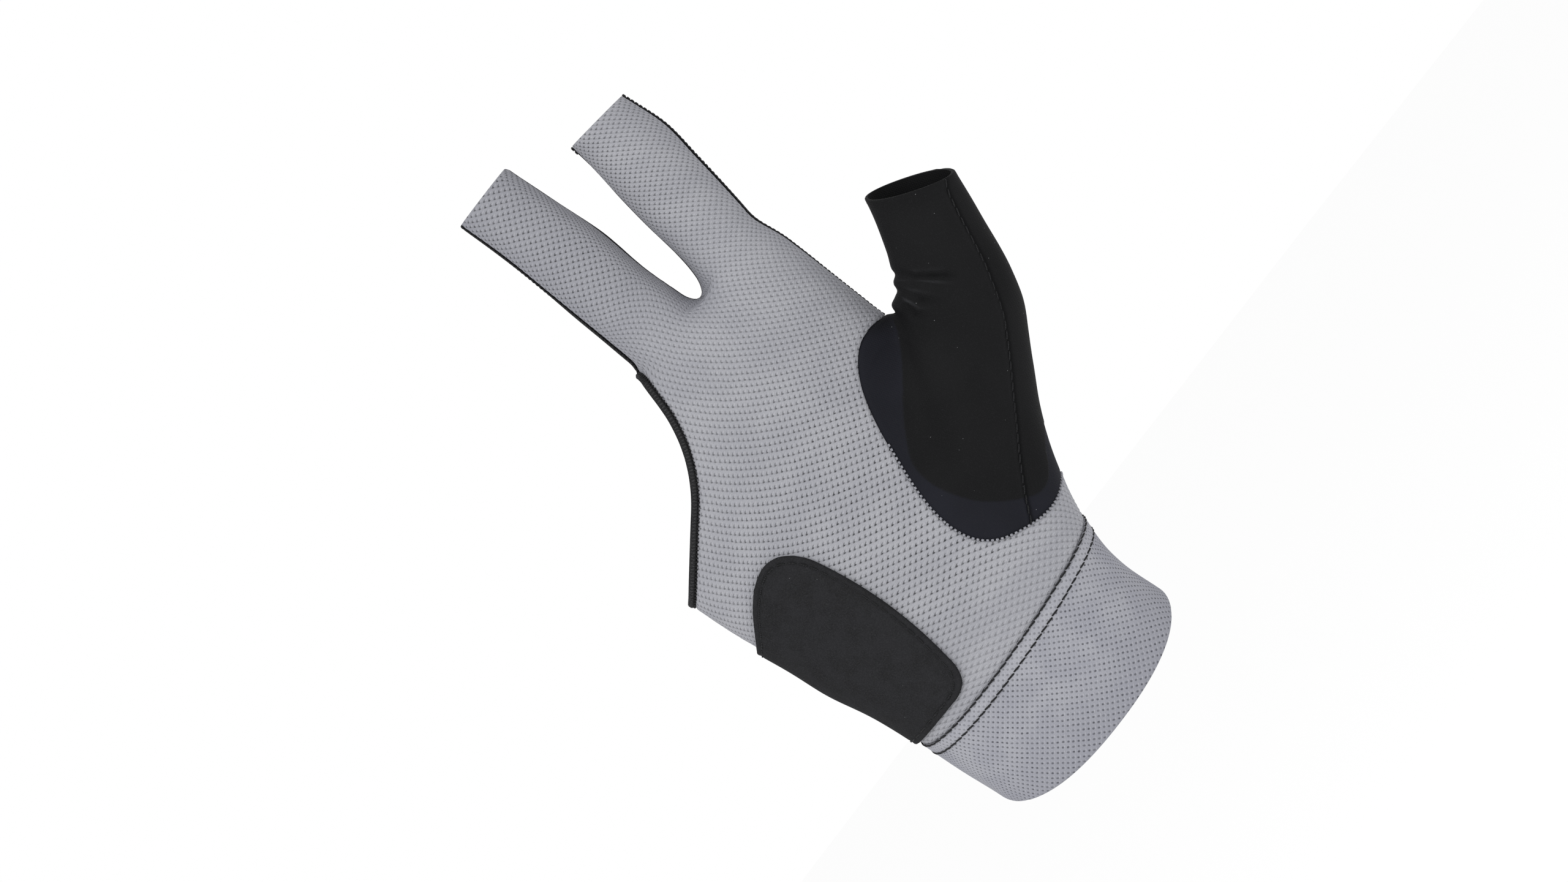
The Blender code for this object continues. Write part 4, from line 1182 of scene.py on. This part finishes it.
def gray_knit():
    """Dimpled mesh knit: staggered pits, each a short upright and a foot to its right, with painted
    highlights on the raised yarn and painted shade where the shade mark asks.
    """
    graph = Graph("gray_knit", 0.9, 0.2)
    place = graph.cloth_place()
    u, v, _ = graph.parts(place)
    wobble = (graph.noise(place, 3.0) - 0.5) * 0.45
    a, b = graph.cell(u + wobble, v + wobble, KNIT_PITCH * 1000, KNIT_ROW * 1000, 0.5)
    foot = graph.spot(a, b, (0.03, -0.15), (0.19, 0.09), 0.7)
    upright = graph.spot(a, b, (-0.11, 0.0), (0.075, 0.22), 0.8)
    # Painted highlights: the rib and the glint beside each pit are lighter, and they also raise the
    # bump
    rib = graph.spot(a, b, (0.30, 0.12), (0.12, 0.36), 0.9)
    glint = graph.spot(a, b, (-0.29, 0.0), (0.06, 0.24), 0.9)
    course = graph.ramp(graph.math("ABSOLUTE", b + 0.20), 0.16, 0.02)
    dimple = graph.most(foot, upright * 0.8)
    raised_highlight = graph.most(rib, glint)
    strength = (graph.mark("open_mesh") * 0.62 + 0.34) * graph.mark("plain")
    patchy = graph.ramp(graph.noise(place, 1.1), 0.30, 0.70, 0.62, 1.22)
    yarn = graph.noise(place, 0.34, 3.0, 0.6)
    cloud = graph.noise(place, 14.0)
    base = graph.mix(graph.ramp(cloud, 0.35, 0.65), grey(150, 6), grey(158, 5))
    # Painted shade where the shade mark asks for it
    base = graph.mix(graph.mark("shade"), base, grey(126, 8))
    base = graph.mix(graph.ramp(yarn, 0.30, 0.75, 0.0, 0.60), base, grey(132, 8))
    base = graph.mix(course * 0.20, base, grey(96, 6))
    # Painted highlight on the raised yarn
    base = graph.mix(raised_highlight * 0.30, base, grey(180, 5))
    colour = graph.mix(dimple * strength * patchy, base, grey(46, 3))
    height = yarn * 0.45 + raised_highlight * 0.35 - (dimple * 0.8 + course * 0.30)
    return graph.finish(colour, height, 0.00020)


def gray_mesh():
    """Finer, square mesh of the cuff, plainer in the band between its stitch rows, with painted
    highlights on its knots and painted shade toward its foot.
    """
    graph = Graph("gray_mesh", 0.9, 0.2)
    place = graph.cloth_place()
    u, v, _ = graph.parts(place)
    wobble = (graph.noise(place, 2.5) - 0.5) * 0.50
    a, b = graph.cell(u + wobble, v + wobble, CUFF_PITCH * 1000, CUFF_ROW * 1000, 0.0)
    pit = graph.spot(a, b, (0.0, -0.05), (0.20, 0.15), 0.7)
    # Painted highlight: a lighter knot of yarn beside each pit, which also raises the bump
    knot_highlight = graph.spot(a, b, (0.38, 0.10), (0.14, 0.30), 0.9)
    band = graph.mark("band")
    patchy = graph.ramp(graph.noise(place, 0.9), 0.30, 0.70, 0.45, 1.30)
    yarn = graph.noise(place, 0.26, 3.0)
    cloud = graph.noise(place, 9.0)
    base = graph.mix(graph.ramp(cloud, 0.35, 0.65), grey(146, 9), grey(157, 7))
    # Painted shade, darker toward the hem
    base = graph.mix(graph.mark("low"), base, grey(138, 9))
    base = graph.mix(graph.ramp(yarn, 0.30, 0.75, 0.0, 0.6), base, grey(130, 9))
    base = graph.mix(band * 0.35, base, grey(160, 6))
    # Painted highlight on the knots
    base = graph.mix(knot_highlight * 0.35, base, grey(180, 6))
    colour = graph.mix(pit * (band * -0.36 + 0.70) * patchy, base, grey(52, 8))
    return graph.finish(colour, yarn * 0.35 - pit + knot_highlight * 0.6, 0.00020)


def black_stretch():
    """Smooth stretch knit: fine wales, neutral black, bluer in the patch's border, with painted
    highlights on crease ridges and painted shade in their grooves.
    """
    graph = Graph("black_stretch", 0.75, 0.06)
    place = graph.place()
    x, _, z = graph.parts(place)
    wale = graph.math("SINE", (x + z * 0.30) * 11.0)
    course = graph.math("SINE", (z - x * 0.30) * 14.0)
    fibre = graph.noise(place, 0.35, 3.0)
    cloud = graph.ramp(graph.noise(place, 20.0), 0.35, 0.65)
    black = graph.mix(cloud, grey(21, 1), grey(24, 1))
    blue = graph.mix(cloud, grey(27, 6), grey(30, 7))
    colour = graph.mix(graph.mark("border"), black, blue)
    colour = graph.mix(graph.ramp(fibre, 0.45, 0.85, 0.0, 0.35), colour, grey(38, 2))
    # Painted highlight on the crease ridges and the seam's rise, painted shade in the crease
    # grooves and the seam's drop
    crease_light_shade = graph.mark("crease_light_shade")
    colour = graph.mix(graph.ramp(crease_light_shade, 0.05, 1.0), colour, grey(54, 3))
    colour = graph.mix(graph.ramp(crease_light_shade, -0.05, -1.0, 0.0, 0.9), colour, grey(6, 1))
    colour = graph.mix(graph.flecks(place, 3.0, 0.045, 0.75), colour, grey(120, 2))
    return graph.finish(colour, (wale + course) * 0.25 + fibre, 0.00007)


def black_suede():
    """Brushed suede: short nap, cloudy, with a few specks of lint."""
    graph = Graph("black_suede", 0.95, 0.05)
    place = graph.place()
    nap = graph.noise(place, 0.30, 4.0, 0.65)
    cloud = graph.ramp(graph.noise(place, 5.0, 4.0, 0.6), 0.35, 0.65)
    base = graph.mix(cloud, grey(32, 1), grey(37, 2))
    base = graph.mix(graph.ramp(nap, 0.35, 0.80), base, grey(48, 2))
    colour = graph.mix(graph.flecks(place, 2.1, 0.07, 0.10), base, grey(96, 2))
    return graph.finish(colour, nap, 0.00020)


def black_tape():
    """Overlocked edging: fine cross threads, lighter along its crown."""
    graph = Graph("black_tape", 0.85, 0.06)
    fibre = graph.noise(graph.place(), 0.28, 3.0)
    lighter_crown = graph.mark("crown") * graph.ramp(fibre, 0.2, 0.8, 0.35, 1.0)
    return graph.finish(graph.mix(lighter_crown, grey(24, 1), grey(64, 1)), fibre, 0.00010)


def black_thread():
    """Twisted polyester thread."""
    graph = Graph("black_thread", 0.6, 0.12)
    x, y, z = graph.parts(graph.place())
    twist = graph.math("SINE", (x + y + z * 1.6) * 9.0)
    colour = graph.mix(graph.ramp(twist, -1.0, 1.0), grey(20, 1), grey(44, 2))
    return graph.finish(colour, twist, 0.00005)


def gray_yarn():
    """Loose loops of the knit's own yarn."""
    graph = Graph("gray_yarn", 0.9, 0.1)
    fibre = graph.noise(graph.place(), 0.30, 3.0)
    colour = graph.mix(graph.ramp(fibre, 0.3, 0.7), grey(112, 8), grey(160, 6))
    return graph.finish(colour, fibre, 0.00012)


def pale_paper():
    """Pale matt paper."""
    graph = Graph("pale_paper", 1.0, 0.0)
    fibre = graph.noise(graph.place(), 3.0)
    colour = graph.mix(fibre, (0.96, 0.96, 0.96, 1.0), (0.99, 0.99, 0.99, 1.0))
    return graph.finish(colour, fibre, 0.00002)


def make_stage():
    """A pale floor under a white sky, soft lights, and the camera square to the palm."""
    turns = np.linspace(0, 2 * np.pi, 48, endpoint=False)
    verts = [(FLOOR_RADIUS * np.cos(t), FLOOR_RADIUS * np.sin(t), FLOOR_LEVEL) for t in turns]
    mesh = bpy.data.meshes.new("floor")
    mesh.from_pydata(verts, [], [tuple(range(len(verts)))])
    mesh.materials.append(pale_paper())
    floor = bpy.data.objects.new("floor", mesh)
    bpy.context.scene.collection.objects.link(floor)

    world = bpy.data.worlds.new("soft_white")
    world.use_nodes = True
    world.node_tree.nodes["Background"].inputs["Color"].default_value = (1.0, 1.0, 1.0, 1.0)
    bpy.context.scene.world = world
    bpy.context.scene.view_settings.view_transform = "Standard"

    lights = (("key", (-0.9, -1.3, 1.1), KEY_POWER), ("fill", (1.1, -1.3, 0.1), FILL_POWER))
    for name, place, power in lights:
        lamp = bpy.data.lights.new(name, "AREA")
        lamp.energy = power
        lamp.size = KEY_SIZE
        lamp_object = bpy.data.objects.new(name, lamp)
        lamp_object.location = place
        aim = Vector(VIEW_CENTRE) - Vector(place)
        lamp_object.rotation_euler = aim.to_track_quat("-Z", "Y").to_euler()
        bpy.context.scene.collection.objects.link(lamp_object)

    lens = bpy.data.cameras.new("camera")
    lens.lens = LENS
    lens.sensor_width = SENSOR
    camera = bpy.data.objects.new("camera", lens)
    away = VIEW_WIDTH * LENS / SENSOR
    x, y, z = VIEW_CENTRE
    right, up = VIEW_RIGHT, VIEW_UP
    camera.matrix_world = Matrix((
        (right[0], up[0], 0.0, x),
        (right[1], up[1], -1.0, y - away),
        (right[2], up[2], 0.0, z),
        (0.0, 0.0, 0.0, 1.0)))
    bpy.context.scene.collection.objects.link(camera)
    bpy.context.scene.camera = camera


def round_off(distance, reach):
    """A rounded edge's drop: 1 at the edge, 0 from the reach on."""
    t = 1 - np.clip(distance / reach, 0, 1)
    return 1 - np.sqrt(np.clip(1 - t * t, 0, 1))


def edge_relief(sheet):
    """A sheet's outer face sinks a little toward its seams and rounds over at the rim."""
    sink = -SEAM_SINK * (1 - smooth_step(sheet.edge, 0.0, SEAM_REACH))
    return sink - EDGE_ROUND * 0.5 * round_off(sheet.edge, EDGE_ROUND)


def knit_relief(flat, pitch, row, shift, depth):
    """Low pits of the knit in the mesh."""
    u, v = flat.T
    line = v / row
    a = (u / pitch + shift * (np.floor(line) % 2)) % 1 - 0.5
    b = line % 1 - 0.5 + PIT_DROP
    return -depth * bell(a, PIT_SIZE[0]) * bell(b, PIT_SIZE[1])


def above_neighbours(sheet, height, rounds):
    """How far each point's height stands above the mean around it."""
    edges, _ = edge_table(sheet.faces)
    a, b = edges.T
    size = len(height)
    count = np.bincount(a, minlength=size) + np.bincount(b, minlength=size)
    mean = height
    for _ in range(rounds):
        total = np.bincount(a, mean[b], size) + np.bincount(b, mean[a], size)
        mean = (mean + total / count) / 2
    return height - mean


def length_along(points):
    """How far along a run each of its points is."""
    steps = np.linalg.norm(np.diff(points, axis=0), axis=1)
    return np.concatenate(((0.0,), np.cumsum(steps)))


def points_at(points, at):
    """A run's points at given lengths along it."""
    place = length_along(points)
    return np.stack([np.interp(at, place, points[:, k]) for k in range(3)], -1)


def thread_mesh(runs, radius, stitch, gap, lift, lean=0.0, sides=6):
    """Stitches along each run of points on the form, as small bent capsules."""
    verts, faces = [], []
    profile = np.array(STITCH_PROFILE)
    turns = 2 * np.pi * np.arange(sides) / sides
    ring = np.arange(sides)
    beside = (ring + 1) % sides
    pattern = []
    for k in range(len(profile) - 1):
        a, b = k * sides + ring, k * sides + beside
        pattern += [np.stack((a, b, b + sides), -1), np.stack((a, b + sides, a + sides), -1)]
    last = (len(profile) - 1) * sides
    fan = np.stack((0 * ring[2:], ring[2:], ring[1:-1]), -1)
    pattern = np.concatenate(pattern + [fan, last + fan[:, ::-1]])
    for points in runs:
        length = length_along(points)[-1]
        count = max(round(length / (stitch + gap)), 1)
        pace = length / count
        at = (np.arange(count)[:, None] + 0.5) * pace + profile[:, 0] * (pace - gap)
        spots = points_at(points, at)
        normal = outward(spots)
        run = np.gradient(spots, axis=1)
        run /= np.linalg.norm(run, axis=2, keepdims=True)
        side = np.cross(run, normal)
        size = radius * profile[:, 1][:, None]
        spots = spots + normal * (lift + radius * profile[:, 2])[:, None]
        spots = spots + side * (lean * (pace - gap) * profile[:, 0])[:, None]
        for turn in range(count):
            rings = [spots[turn] + (side[turn] * np.cos(t) + normal[turn] * np.sin(t)) * size
                     for t in turns]
            faces.append(pattern + len(verts) * sides * len(profile))
            verts.append(np.stack(rings, 1).reshape(-1, 3))
    return np.concatenate(verts), np.concatenate(faces)


def line_of(faces, verts, field, offset=0.00001):
    """The zero line of a field over a mesh of the form, as ordered runs of points."""
    value = field(verts) - offset
    edges, number = edge_table(faces)
    a, b = value[edges[:, 0]], value[edges[:, 1]]
    crossed = a * b < 0
    share = np.where(crossed, a / np.where(crossed, a - b, 1), 0)[:, None]
    points = verts[edges[:, 0]] * (1 - share) + verts[edges[:, 1]] * share
    hits = crossed[number]
    beside = {}
    for row, hit in zip(number, hits):
        if hit.sum() == 2:
            p, q = row[hit]
            beside.setdefault(p, []).append(q)
            beside.setdefault(q, []).append(p)
    runs, seen = [], set()
    for start in sorted(beside, key=lambda p: (len(beside[p]), p)):
        if start in seen:
            continue
        run = [start]
        seen.add(start)
        ahead = True
        while ahead:
            ahead = [q for q in beside[run[-1]] if q not in seen]
            if ahead:
                run.append(ahead[0])
                seen.add(ahead[0])
        closed = len(beside[start]) == 2 and start in beside[run[-1]]
        if closed:
            run.append(start)
        if len(run) > 3:
            runs.append(even_run(settle(points[run]), closed))
    return runs


def even_run(points, closed, pace=0.0008):
    """A run's points at an even pace, smoothed a little and set back on the form."""
    length = length_along(points)[-1]
    points = points_at(points, np.linspace(0, length, max(round(length / pace), 3) + 1))
    for _ in range(EVEN_ROUNDS):
        if closed:
            ring = points[:-1]
            ring = (2 * ring + np.roll(ring, 1, axis=0) + np.roll(ring, -1, axis=0)) / 4
            points = np.concatenate((ring, ring[:1]))
        else:
            points[1:-1] = (2 * points[1:-1] + points[:-2] + points[2:]) / 4
    return settle(points)


def cross_runs(runs, field, pace, behind, ahead):
    """Short runs across longer ones, one every pace, toward the field's positive side."""
    result = []
    for points in runs:
        spots = points_at(points, np.arange(pace / 2, length_along(points)[-1], pace))
        side = slope_along(field, spots)
        side /= np.maximum(np.linalg.norm(side, axis=1, keepdims=True), TINY)
        for spot, step in zip(spots, side):
            result.append(settle(spot + step * np.array([[-behind], [0.0], [ahead]])))
    return result


def cut_panels():
    """Cut the hand form along every seam and edge; return the skin and its panels."""
    verts, quads = wrap_form(CELL)
    faces = cut_quads(verts, quads)
    verts = relax(verts, faces, EVEN_ROUNDS)
    skin = Skin(verts, faces)
    panel = np.full(len(faces), "body", dtype="<U8")
    cuts = (
        ("hem", distance_from(hem_side), "body", ("away", None)),
        ("cuff", distance_from(cuff_side), "body", ("cuff", None)),
        ("thumb", distance_from(patch_side), "body", (None, "thumb")),
        ("thumb end", distance_from(thumb_end), "thumb", ("away", None)),
        ("opening", distance_from(opening_side), "body", ("away", None)),
        ("binding", binding_side, "body", ("binding", None)),
        ("index end", index_end, "body", ("away", None)),
        ("middle end", middle_end, "body", ("away", None)),
        ("seam", seam_side, "body", ("palm", "back")),
    )
    for name, field, among, (below, above) in cuts:
        chosen = panel == among
        beyond = skin.verts[skin.faces].mean(axis=1)[:, 0] > FORK_PLACE * PALM_WIDTH
        if name == "index end":
            chosen = chosen & beyond
        if name == "middle end":
            chosen = chosen & ~beyond
        origin, side = skin.cut(field, chosen)
        mark = chosen[origin]
        panel = panel[origin]
        if below is not None:
            panel[mark & ~side] = below
        if above is not None:
            panel[mark & side] = above
    return skin, panel


def thumb_seam(points):
    """How far across the thumb points are from its seam."""
    along, across, _ = thumb_place(points)
    rows = np.array(THUMB_SEAM)[::-1]
    return across - np.interp(along / THUMB_LENGTH, rows[:, 0], rows[:, 1]) * THUMB_WIDTH


def table_curve(rows, count=400):
    """A table of places along and across the thumb as a smooth run, in metres."""
    rows = [(i, *row) for i, row in enumerate(rows)]
    curve = read_rows(rows, np.linspace(0, len(rows) - 1, count))
    return curve.T * (THUMB_LENGTH, THUMB_WIDTH)


def patch_border(points):
    """1 in the patch's bluer border, 0 in the sleeve's neutral black."""
    along, across, depth = thumb_place(points)
    curve = table_curve(BORDER_LINE)
    spots = np.stack((along, across, np.zeros(len(along))), -1)
    gap = distance_to(spots, np.concatenate((curve, np.zeros((len(curve), 1))), axis=1))
    ring = np.concatenate((curve, np.array(BORDER_RING) * (THUMB_LENGTH, THUMB_WIDTH)))
    inside = np.zeros(len(along), bool)
    for (a, b), (c, d) in zip(ring, np.roll(ring, -1, axis=0)):
        if b != d:
            passed = (b > across) != (d > across)
            inside ^= passed & (along < (c - a) * (across - b) / (d - b) + a)
    signed = np.where(inside, -gap, gap)
    behind = smooth_step(depth, 0.0, BORDER_BACK * THUMB_DEPTH)
    beyond = smooth_step(along / THUMB_LENGTH, *BORDER_TOP)
    return smooth_step(signed, -BORDER_SOFT, BORDER_SOFT) * (1 - behind) * (1 - beyond)


def declare(sheet, flat):
    """The smaller of a sheet's area and its flat size, worked out and not kept."""
    width, length = map(float, flat)
    min(sheet.area(), width * length)


def make_palm(skin, panel):
    """The gray knit palm and finger fronts."""
    sheet = Sheet(skin, panel == "palm", 3)
    flat = knit_places(sheet.unrolled())
    relief = edge_relief(sheet) + knit_relief(flat, KNIT_PITCH, KNIT_ROW, 0.5, KNIT_DEPTH)
    relief = relief + waves(sheet.verts, *PALM_WAVES)
    verts, faces, kept = sheet.solid(relief, -MESH_WALL)
    flat = np.concatenate((flat, flat[kept]))
    x, z = verts[:, 0], verts[:, 2]
    along, across, _ = thumb_place(verts)
    spread = np.hypot(along - OPEN_PLACE[0] * THUMB_LENGTH, across - OPEN_PLACE[1] * THUMB_WIDTH)
    reach = smooth_step(distance_from(cuff_side)(verts), *PLAIN_ABOVE)
    reach = reach * (1 - 0.6 * smooth_step(x, *PLAIN_SIDE))
    # Painted shade: darker on the middle finger, on the sides turned away from the front and round
    # the fork
    middle = (1 - smooth_step(x, *SHADE_SIDE)) * smooth_step(z, *MIDDLE_SHADE)
    turned = 1 + np.concatenate((sheet.normals, sheet.normals[kept]))[:, 1]
    shade = 0.5 * middle + SIDE_SHADE * turned * smooth_step(z, *SIDE_SHADE_RISE)
    near = np.hypot(x - FORK_PLACE * PALM_WIDTH, z - PALM_LENGTH)
    near = 1 - smooth_step(near, *FORK_SHADE)
    marks = {"open_mesh": np.maximum(1 - smooth_step(spread, *OPEN_REACH),
                                     0.75 * smooth_step(z, *OPEN_FINGERS)),
             "plain": (0.22 + 0.78 * reach) * (1 - 0.7 * near),
             "shade": np.clip(shade + 0.45 * near, 0, 1)}
    piece = make_object("palm_cloth", verts, faces, gray_knit(),
                        flat[faces.ravel()], marks)
    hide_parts("palm_panel")
    return piece, sheet


def make_back(skin, panel, stretch):
    """The black back of the hand and of both fingers."""
    sheet = Sheet(skin, panel == "back", 2)
    relief = edge_relief(sheet) + waves(sheet.verts, *BACK_WAVES)
    verts, faces, _ = sheet.solid(relief, -STRETCH_WALL)
    piece = make_object("back_cloth", verts, faces, stretch)
    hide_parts("back_panel")
    return piece, sheet


def make_thumb(skin, panel, stretch):
    """The black thumb sleeve with its creases, its seam ridge and its rounded patch."""
    sheet = Sheet(skin, panel == "thumb", 3)
    beside = thumb_seam(sheet.verts) / LAP_WIDTH
    front = 1 - smooth_step(sheet.verts[:, 1] / THUMB_DEPTH, *LAP_BACK)
    rise = bell(beside + LAP_RISE, 1) * front
    drop = bell(beside - LAP_DROP, 1) * front
    folds = fold_offset(sheet.verts)
    flare = RIM_FLARE * bell(distance_from(thumb_end)(sheet.verts), LAP_WIDTH)
    relief = edge_relief(sheet) + folds + LAP_HEIGHT * (rise - drop) + flare
    border = patch_border(sheet.verts)
    relief = relief + waves(sheet.verts, *THUMB_WAVES) - BORDER_SINK * border
    verts, faces, kept = sheet.solid(relief, folds - STRETCH_WALL)
    # Painted light and shade for the creases and the lapped seam
    crease_light_shade = above_neighbours(sheet, folds, CREASE_ROUNDS) / CREASE_HEIGHT
    crease_light_shade = crease_light_shade + LAP_HIGHLIGHT * rise - LAP_SHADE * drop
    marks = {"border": np.concatenate((border, 0 * border[kept])),
             "crease_light_shade": np.concatenate((crease_light_shade, 0 * crease_light_shade[kept]))}
    piece = make_object("thumb_cloth", verts, faces, stretch, None, marks)
    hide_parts("thumb_sleeve")
    return piece, sheet


def make_cuff(skin, panel):
    """The gray cuff: two layers folded at the hem."""
    sheet = Sheet(skin, panel == "cuff", 3)
    hem = distance_from(hem_side)(sheet.verts)
    fold = CUFF_WALL / 2 * round_off(hem, HEM_ROUND)
    top = -distance_from(cuff_side)(sheet.verts)
    seam = 1 - smooth_step(top, 0.0, SEAM_REACH)
    ripple = waves(sheet.verts, *CUFF_WAVES)
    pucker = PUCKER_DEPTH * bell(top - CUFF_BAND, PUCKER_WIDTH)
    outer = CUFF_PROUD - fold - SEAM_SINK * seam + ripple * (1 - seam) - pucker
    inner = CUFF_PROUD - CUFF_WALL + fold + ripple * (1 - seam)
    around = sheet.unrolled((WRIST_WIDTH + WRIST_DEPTH) / 4)
    flat = warp(around, *CUFF_KNIT)
    outer = outer + knit_relief(flat, CUFF_PITCH, CUFF_ROW, 0.0, CUFF_DEPTH)
    verts, faces, kept = sheet.solid(outer, inner)
    around = np.concatenate((around, around[kept]))[faces]
    wide = np.ptp(around[:, :, 0], axis=1) > WRIST_WIDTH
    around[:, :, 0] += np.where(wide[:, None] & (around[:, :, 0] < 0), WRIST_GIRTH, 0.0)
    top = np.concatenate((top, top[kept]))
    # The low mark is painted shade, darker toward the hem
    marks = {"band": 1 - smooth_step(top, CUFF_BAND - BAND_SOFT, CUFF_BAND + BAND_SOFT),
             "low": smooth_step(top, *CUFF_FOOT_SHADE)}
    piece = make_object("cuff_cloth", verts, faces, gray_mesh(),
                        warp(around.reshape(-1, 2), *CUFF_KNIT), marks)
    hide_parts("wrist_cuff")
    return piece, sheet


def make_binding(skin, panel):
    """The rounded, scalloped edging of the opening."""
    sheet = Sheet(skin, panel == "binding", 4)
    inner_side = distance_from(opening_side)(sheet.verts)
    outer_side = -binding_side(sheet.verts)
    share = np.clip(inner_side / np.maximum(inner_side + outer_side, LEAST_WIDTH), 0, 1)
    crown = np.sqrt(np.clip(4 * share * (1 - share), 0, 1))
    scallop = SCALLOP / 2 * np.sin(sheet.verts[:, 2] * 2 * np.pi / TIE)
    below_top = PALM_LENGTH + OPENING_RISE - sheet.verts[:, 2]
    tuck = -TUCK * (1 - smooth_step(below_top, 0.0, TUCK_LENGTH))
    outer = (BINDING_PROUD + scallop) * crown - TAPE_EDGE * (1 - crown) + tuck
    verts, faces, kept = sheet.solid(outer, BINDING_PROUD - BINDING_WALL + tuck)
    lighter_crown = np.concatenate((smooth_step(crown, *LIGHTER_CROWN), np.zeros(len(kept))))
    piece = make_object("binding_tape", verts, faces, black_tape(), None,
                        {"crown": lighter_crown})
    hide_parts("opening_binding")
    return piece


def make_pad(skin, panel):
    """The suede patch on the outer palm."""
    palm = skin.faces[panel == "palm"]
    pad = Skin(skin.verts, palm)
    pad.locked[np.unique(boundary_loops(palm))] = True
    _, kept = pad.cut(distance_from(pad_side), np.ones(len(palm), bool))
    sheet = Sheet(pad, kept, 3)
    groove = PAD_GROOVE_DEPTH * bell(sheet.edge - PAD_MARGIN, PAD_GROOVE_WIDTH)
    relief = SEAM_GAP + PAD_WALL - PAD_ROUND_DEPTH * round_off(sheet.edge, PAD_ROUND)
    relief = relief - groove + waves(sheet.verts, *PAD_WAVES)
    verts, faces, _ = sheet.solid(relief, PAD_UNDERSIDE)
    piece = make_object("pad_suede", verts, faces, black_suede())
    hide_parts("heel_pad")
    return piece, sheet


def make_stitches(skin, panel, thread, yarn):
    """Every row of stitches, a piece for each kind."""
    def among(*names):
        return skin.faces[np.isin(panel, names)]

    top = distance_from(cuff_side)
    patch = distance_from(patch_side)
    middles = skin.verts[skin.faces].mean(axis=1)
    at_fork = np.abs(middles[:, 0] - FORK_PLACE * PALM_WIDTH) < FORK_HALF
    at_fork &= middles[:, 2] > PALM_LENGTH - FORK_HALF / 2
    sides = skin.faces[np.isin(panel, ("palm", "back")) & ~at_fork]
    front = skin.faces[(panel == "thumb") & (outward(middles)[:, 1] < SEAM_FACING)]
    teeth = cross_runs(line_of(among("palm", "thumb"), skin.verts, patch), patch,
                       TOOTH, TOOTH_REACH / 2, TOOTH_REACH)
    teeth = [run for run in teeth if seam_side(run[0]) < 0
             and thumb_place(run[:1])[0][0] < TOOTH_END * THUMB_LENGTH]
    ties = cross_runs(line_of(among("binding", "palm", "back"), skin.verts, binding_side),
                      binding_side, TIE, TIE_REACH, TIE_REACH)
    crown = line_of(among("binding"), skin.verts, binding_side, -BINDING_WIDTH / 2)
    top_end = PALM_LENGTH + OPENING_RISE
    crown = [run[run[:, 2] < top_end - TUCK_LENGTH / 2] for run in crown]
    wraps = cross_runs(crown, binding_side, WRAP, 0.4 * BINDING_WIDTH, 0.4 * BINDING_WIDTH)
    side_line = line_of(sides, skin.verts, distance_from(seam_side))
    lead = []
    for run in side_line:
        near = (run[:, 0] < MIDDLE_ROOT[0] * PALM_WIDTH) & (run[:, 2] > top_end - STITCH / 2)
        near &= run[:, 2] < top_end + 2 * STITCH
        if near.sum() > 3:
            lead.append(run[near])
    # Name, runs, radius, length, gap, lift off the form and slant of one stitch
    rows = (
        ("cuff_stitches", line_of(skin.faces, skin.verts, top),
         THREAD, STITCH, 0.0002, 0.00030, 0.10),
        ("band_stitches", line_of(skin.faces, skin.verts, top, -CUFF_BAND),
         THREAD, STITCH, STITCH_GAP, CUFF_PROUD, 0.10),
        ("pad_stitches", line_of(among("palm"), skin.verts, distance_from(pad_side), PAD_MARGIN),
         THREAD, STITCH, 0.0006, SEAM_GAP + PAD_WALL - 0.0001, 0.0),
        ("side_stitches", side_line, 0.00032, 0.0012, STITCH_GAP, -0.00004, 0.45),
        ("lead_stitches", lead, 0.00042, 0.0012, 0.0, 0.0, 0.30),
        ("seam_stitches", line_of(front, skin.verts, thumb_seam),
         0.00022, STITCH, 0.0003, 0.0, 0.12),
        ("patch_teeth", teeth, 0.00038, 0.0011, 0.0, -0.00016, 0.0),
        ("tape_stitches", ties, 0.00024, 0.0009, 0.0, -0.00005, 0.0),
        ("tape_wraps", wraps, WRAP * 0.47, 0.8 * BINDING_WIDTH, 0.0,
         BINDING_PROUD - WRAP * 0.36, 0.0),
    )
    pieces = {}
    for name, runs, radius, stitch, gap, lift, lean in rows:
        verts, faces = thread_mesh(runs, radius, stitch, gap, lift, lean)
        material, slot = (yarn, "gray_knit") if name == "patch_teeth" else (thread, "black_stretch")
        pieces[name] = make_object(name, verts, faces, material)
    return pieces


def main():
    for spare in [o for o in bpy.data.objects if o.type in ("LIGHT", "CAMERA")]:
        bpy.data.objects.remove(spare, do_unlink=True)
    make_stage()
    skin, panel = cut_panels()
    stretch = black_stretch()
    palm, palm_sheet = make_palm(skin, panel)
    back, back_sheet = make_back(skin, panel, stretch)
    thumb, thumb_sheet = make_thumb(skin, panel, stretch)
    cuff, cuff_sheet = make_cuff(skin, panel)
    binding = make_binding(skin, panel)
    pad, pad_sheet = make_pad(skin, panel)
    rows = make_stitches(skin, panel, black_thread(), gray_yarn())

    thumb_long = np.ptp(thumb_place(thumb_sheet.verts)[0])
    cuff_high = np.ptp(cuff_sheet.verts[:, 2])
    declare(palm_sheet, np.ptp(palm_sheet.unrolled(), axis=0))
    declare(back_sheet, np.ptp(back_sheet.unrolled(), axis=0))
    declare(thumb_sheet, (THUMB_GIRTH, thumb_long))
    declare(cuff_sheet, (WRIST_GIRTH, cuff_high))
    declare(pad_sheet, np.ptp(pad_sheet.unrolled(), axis=0))


main()
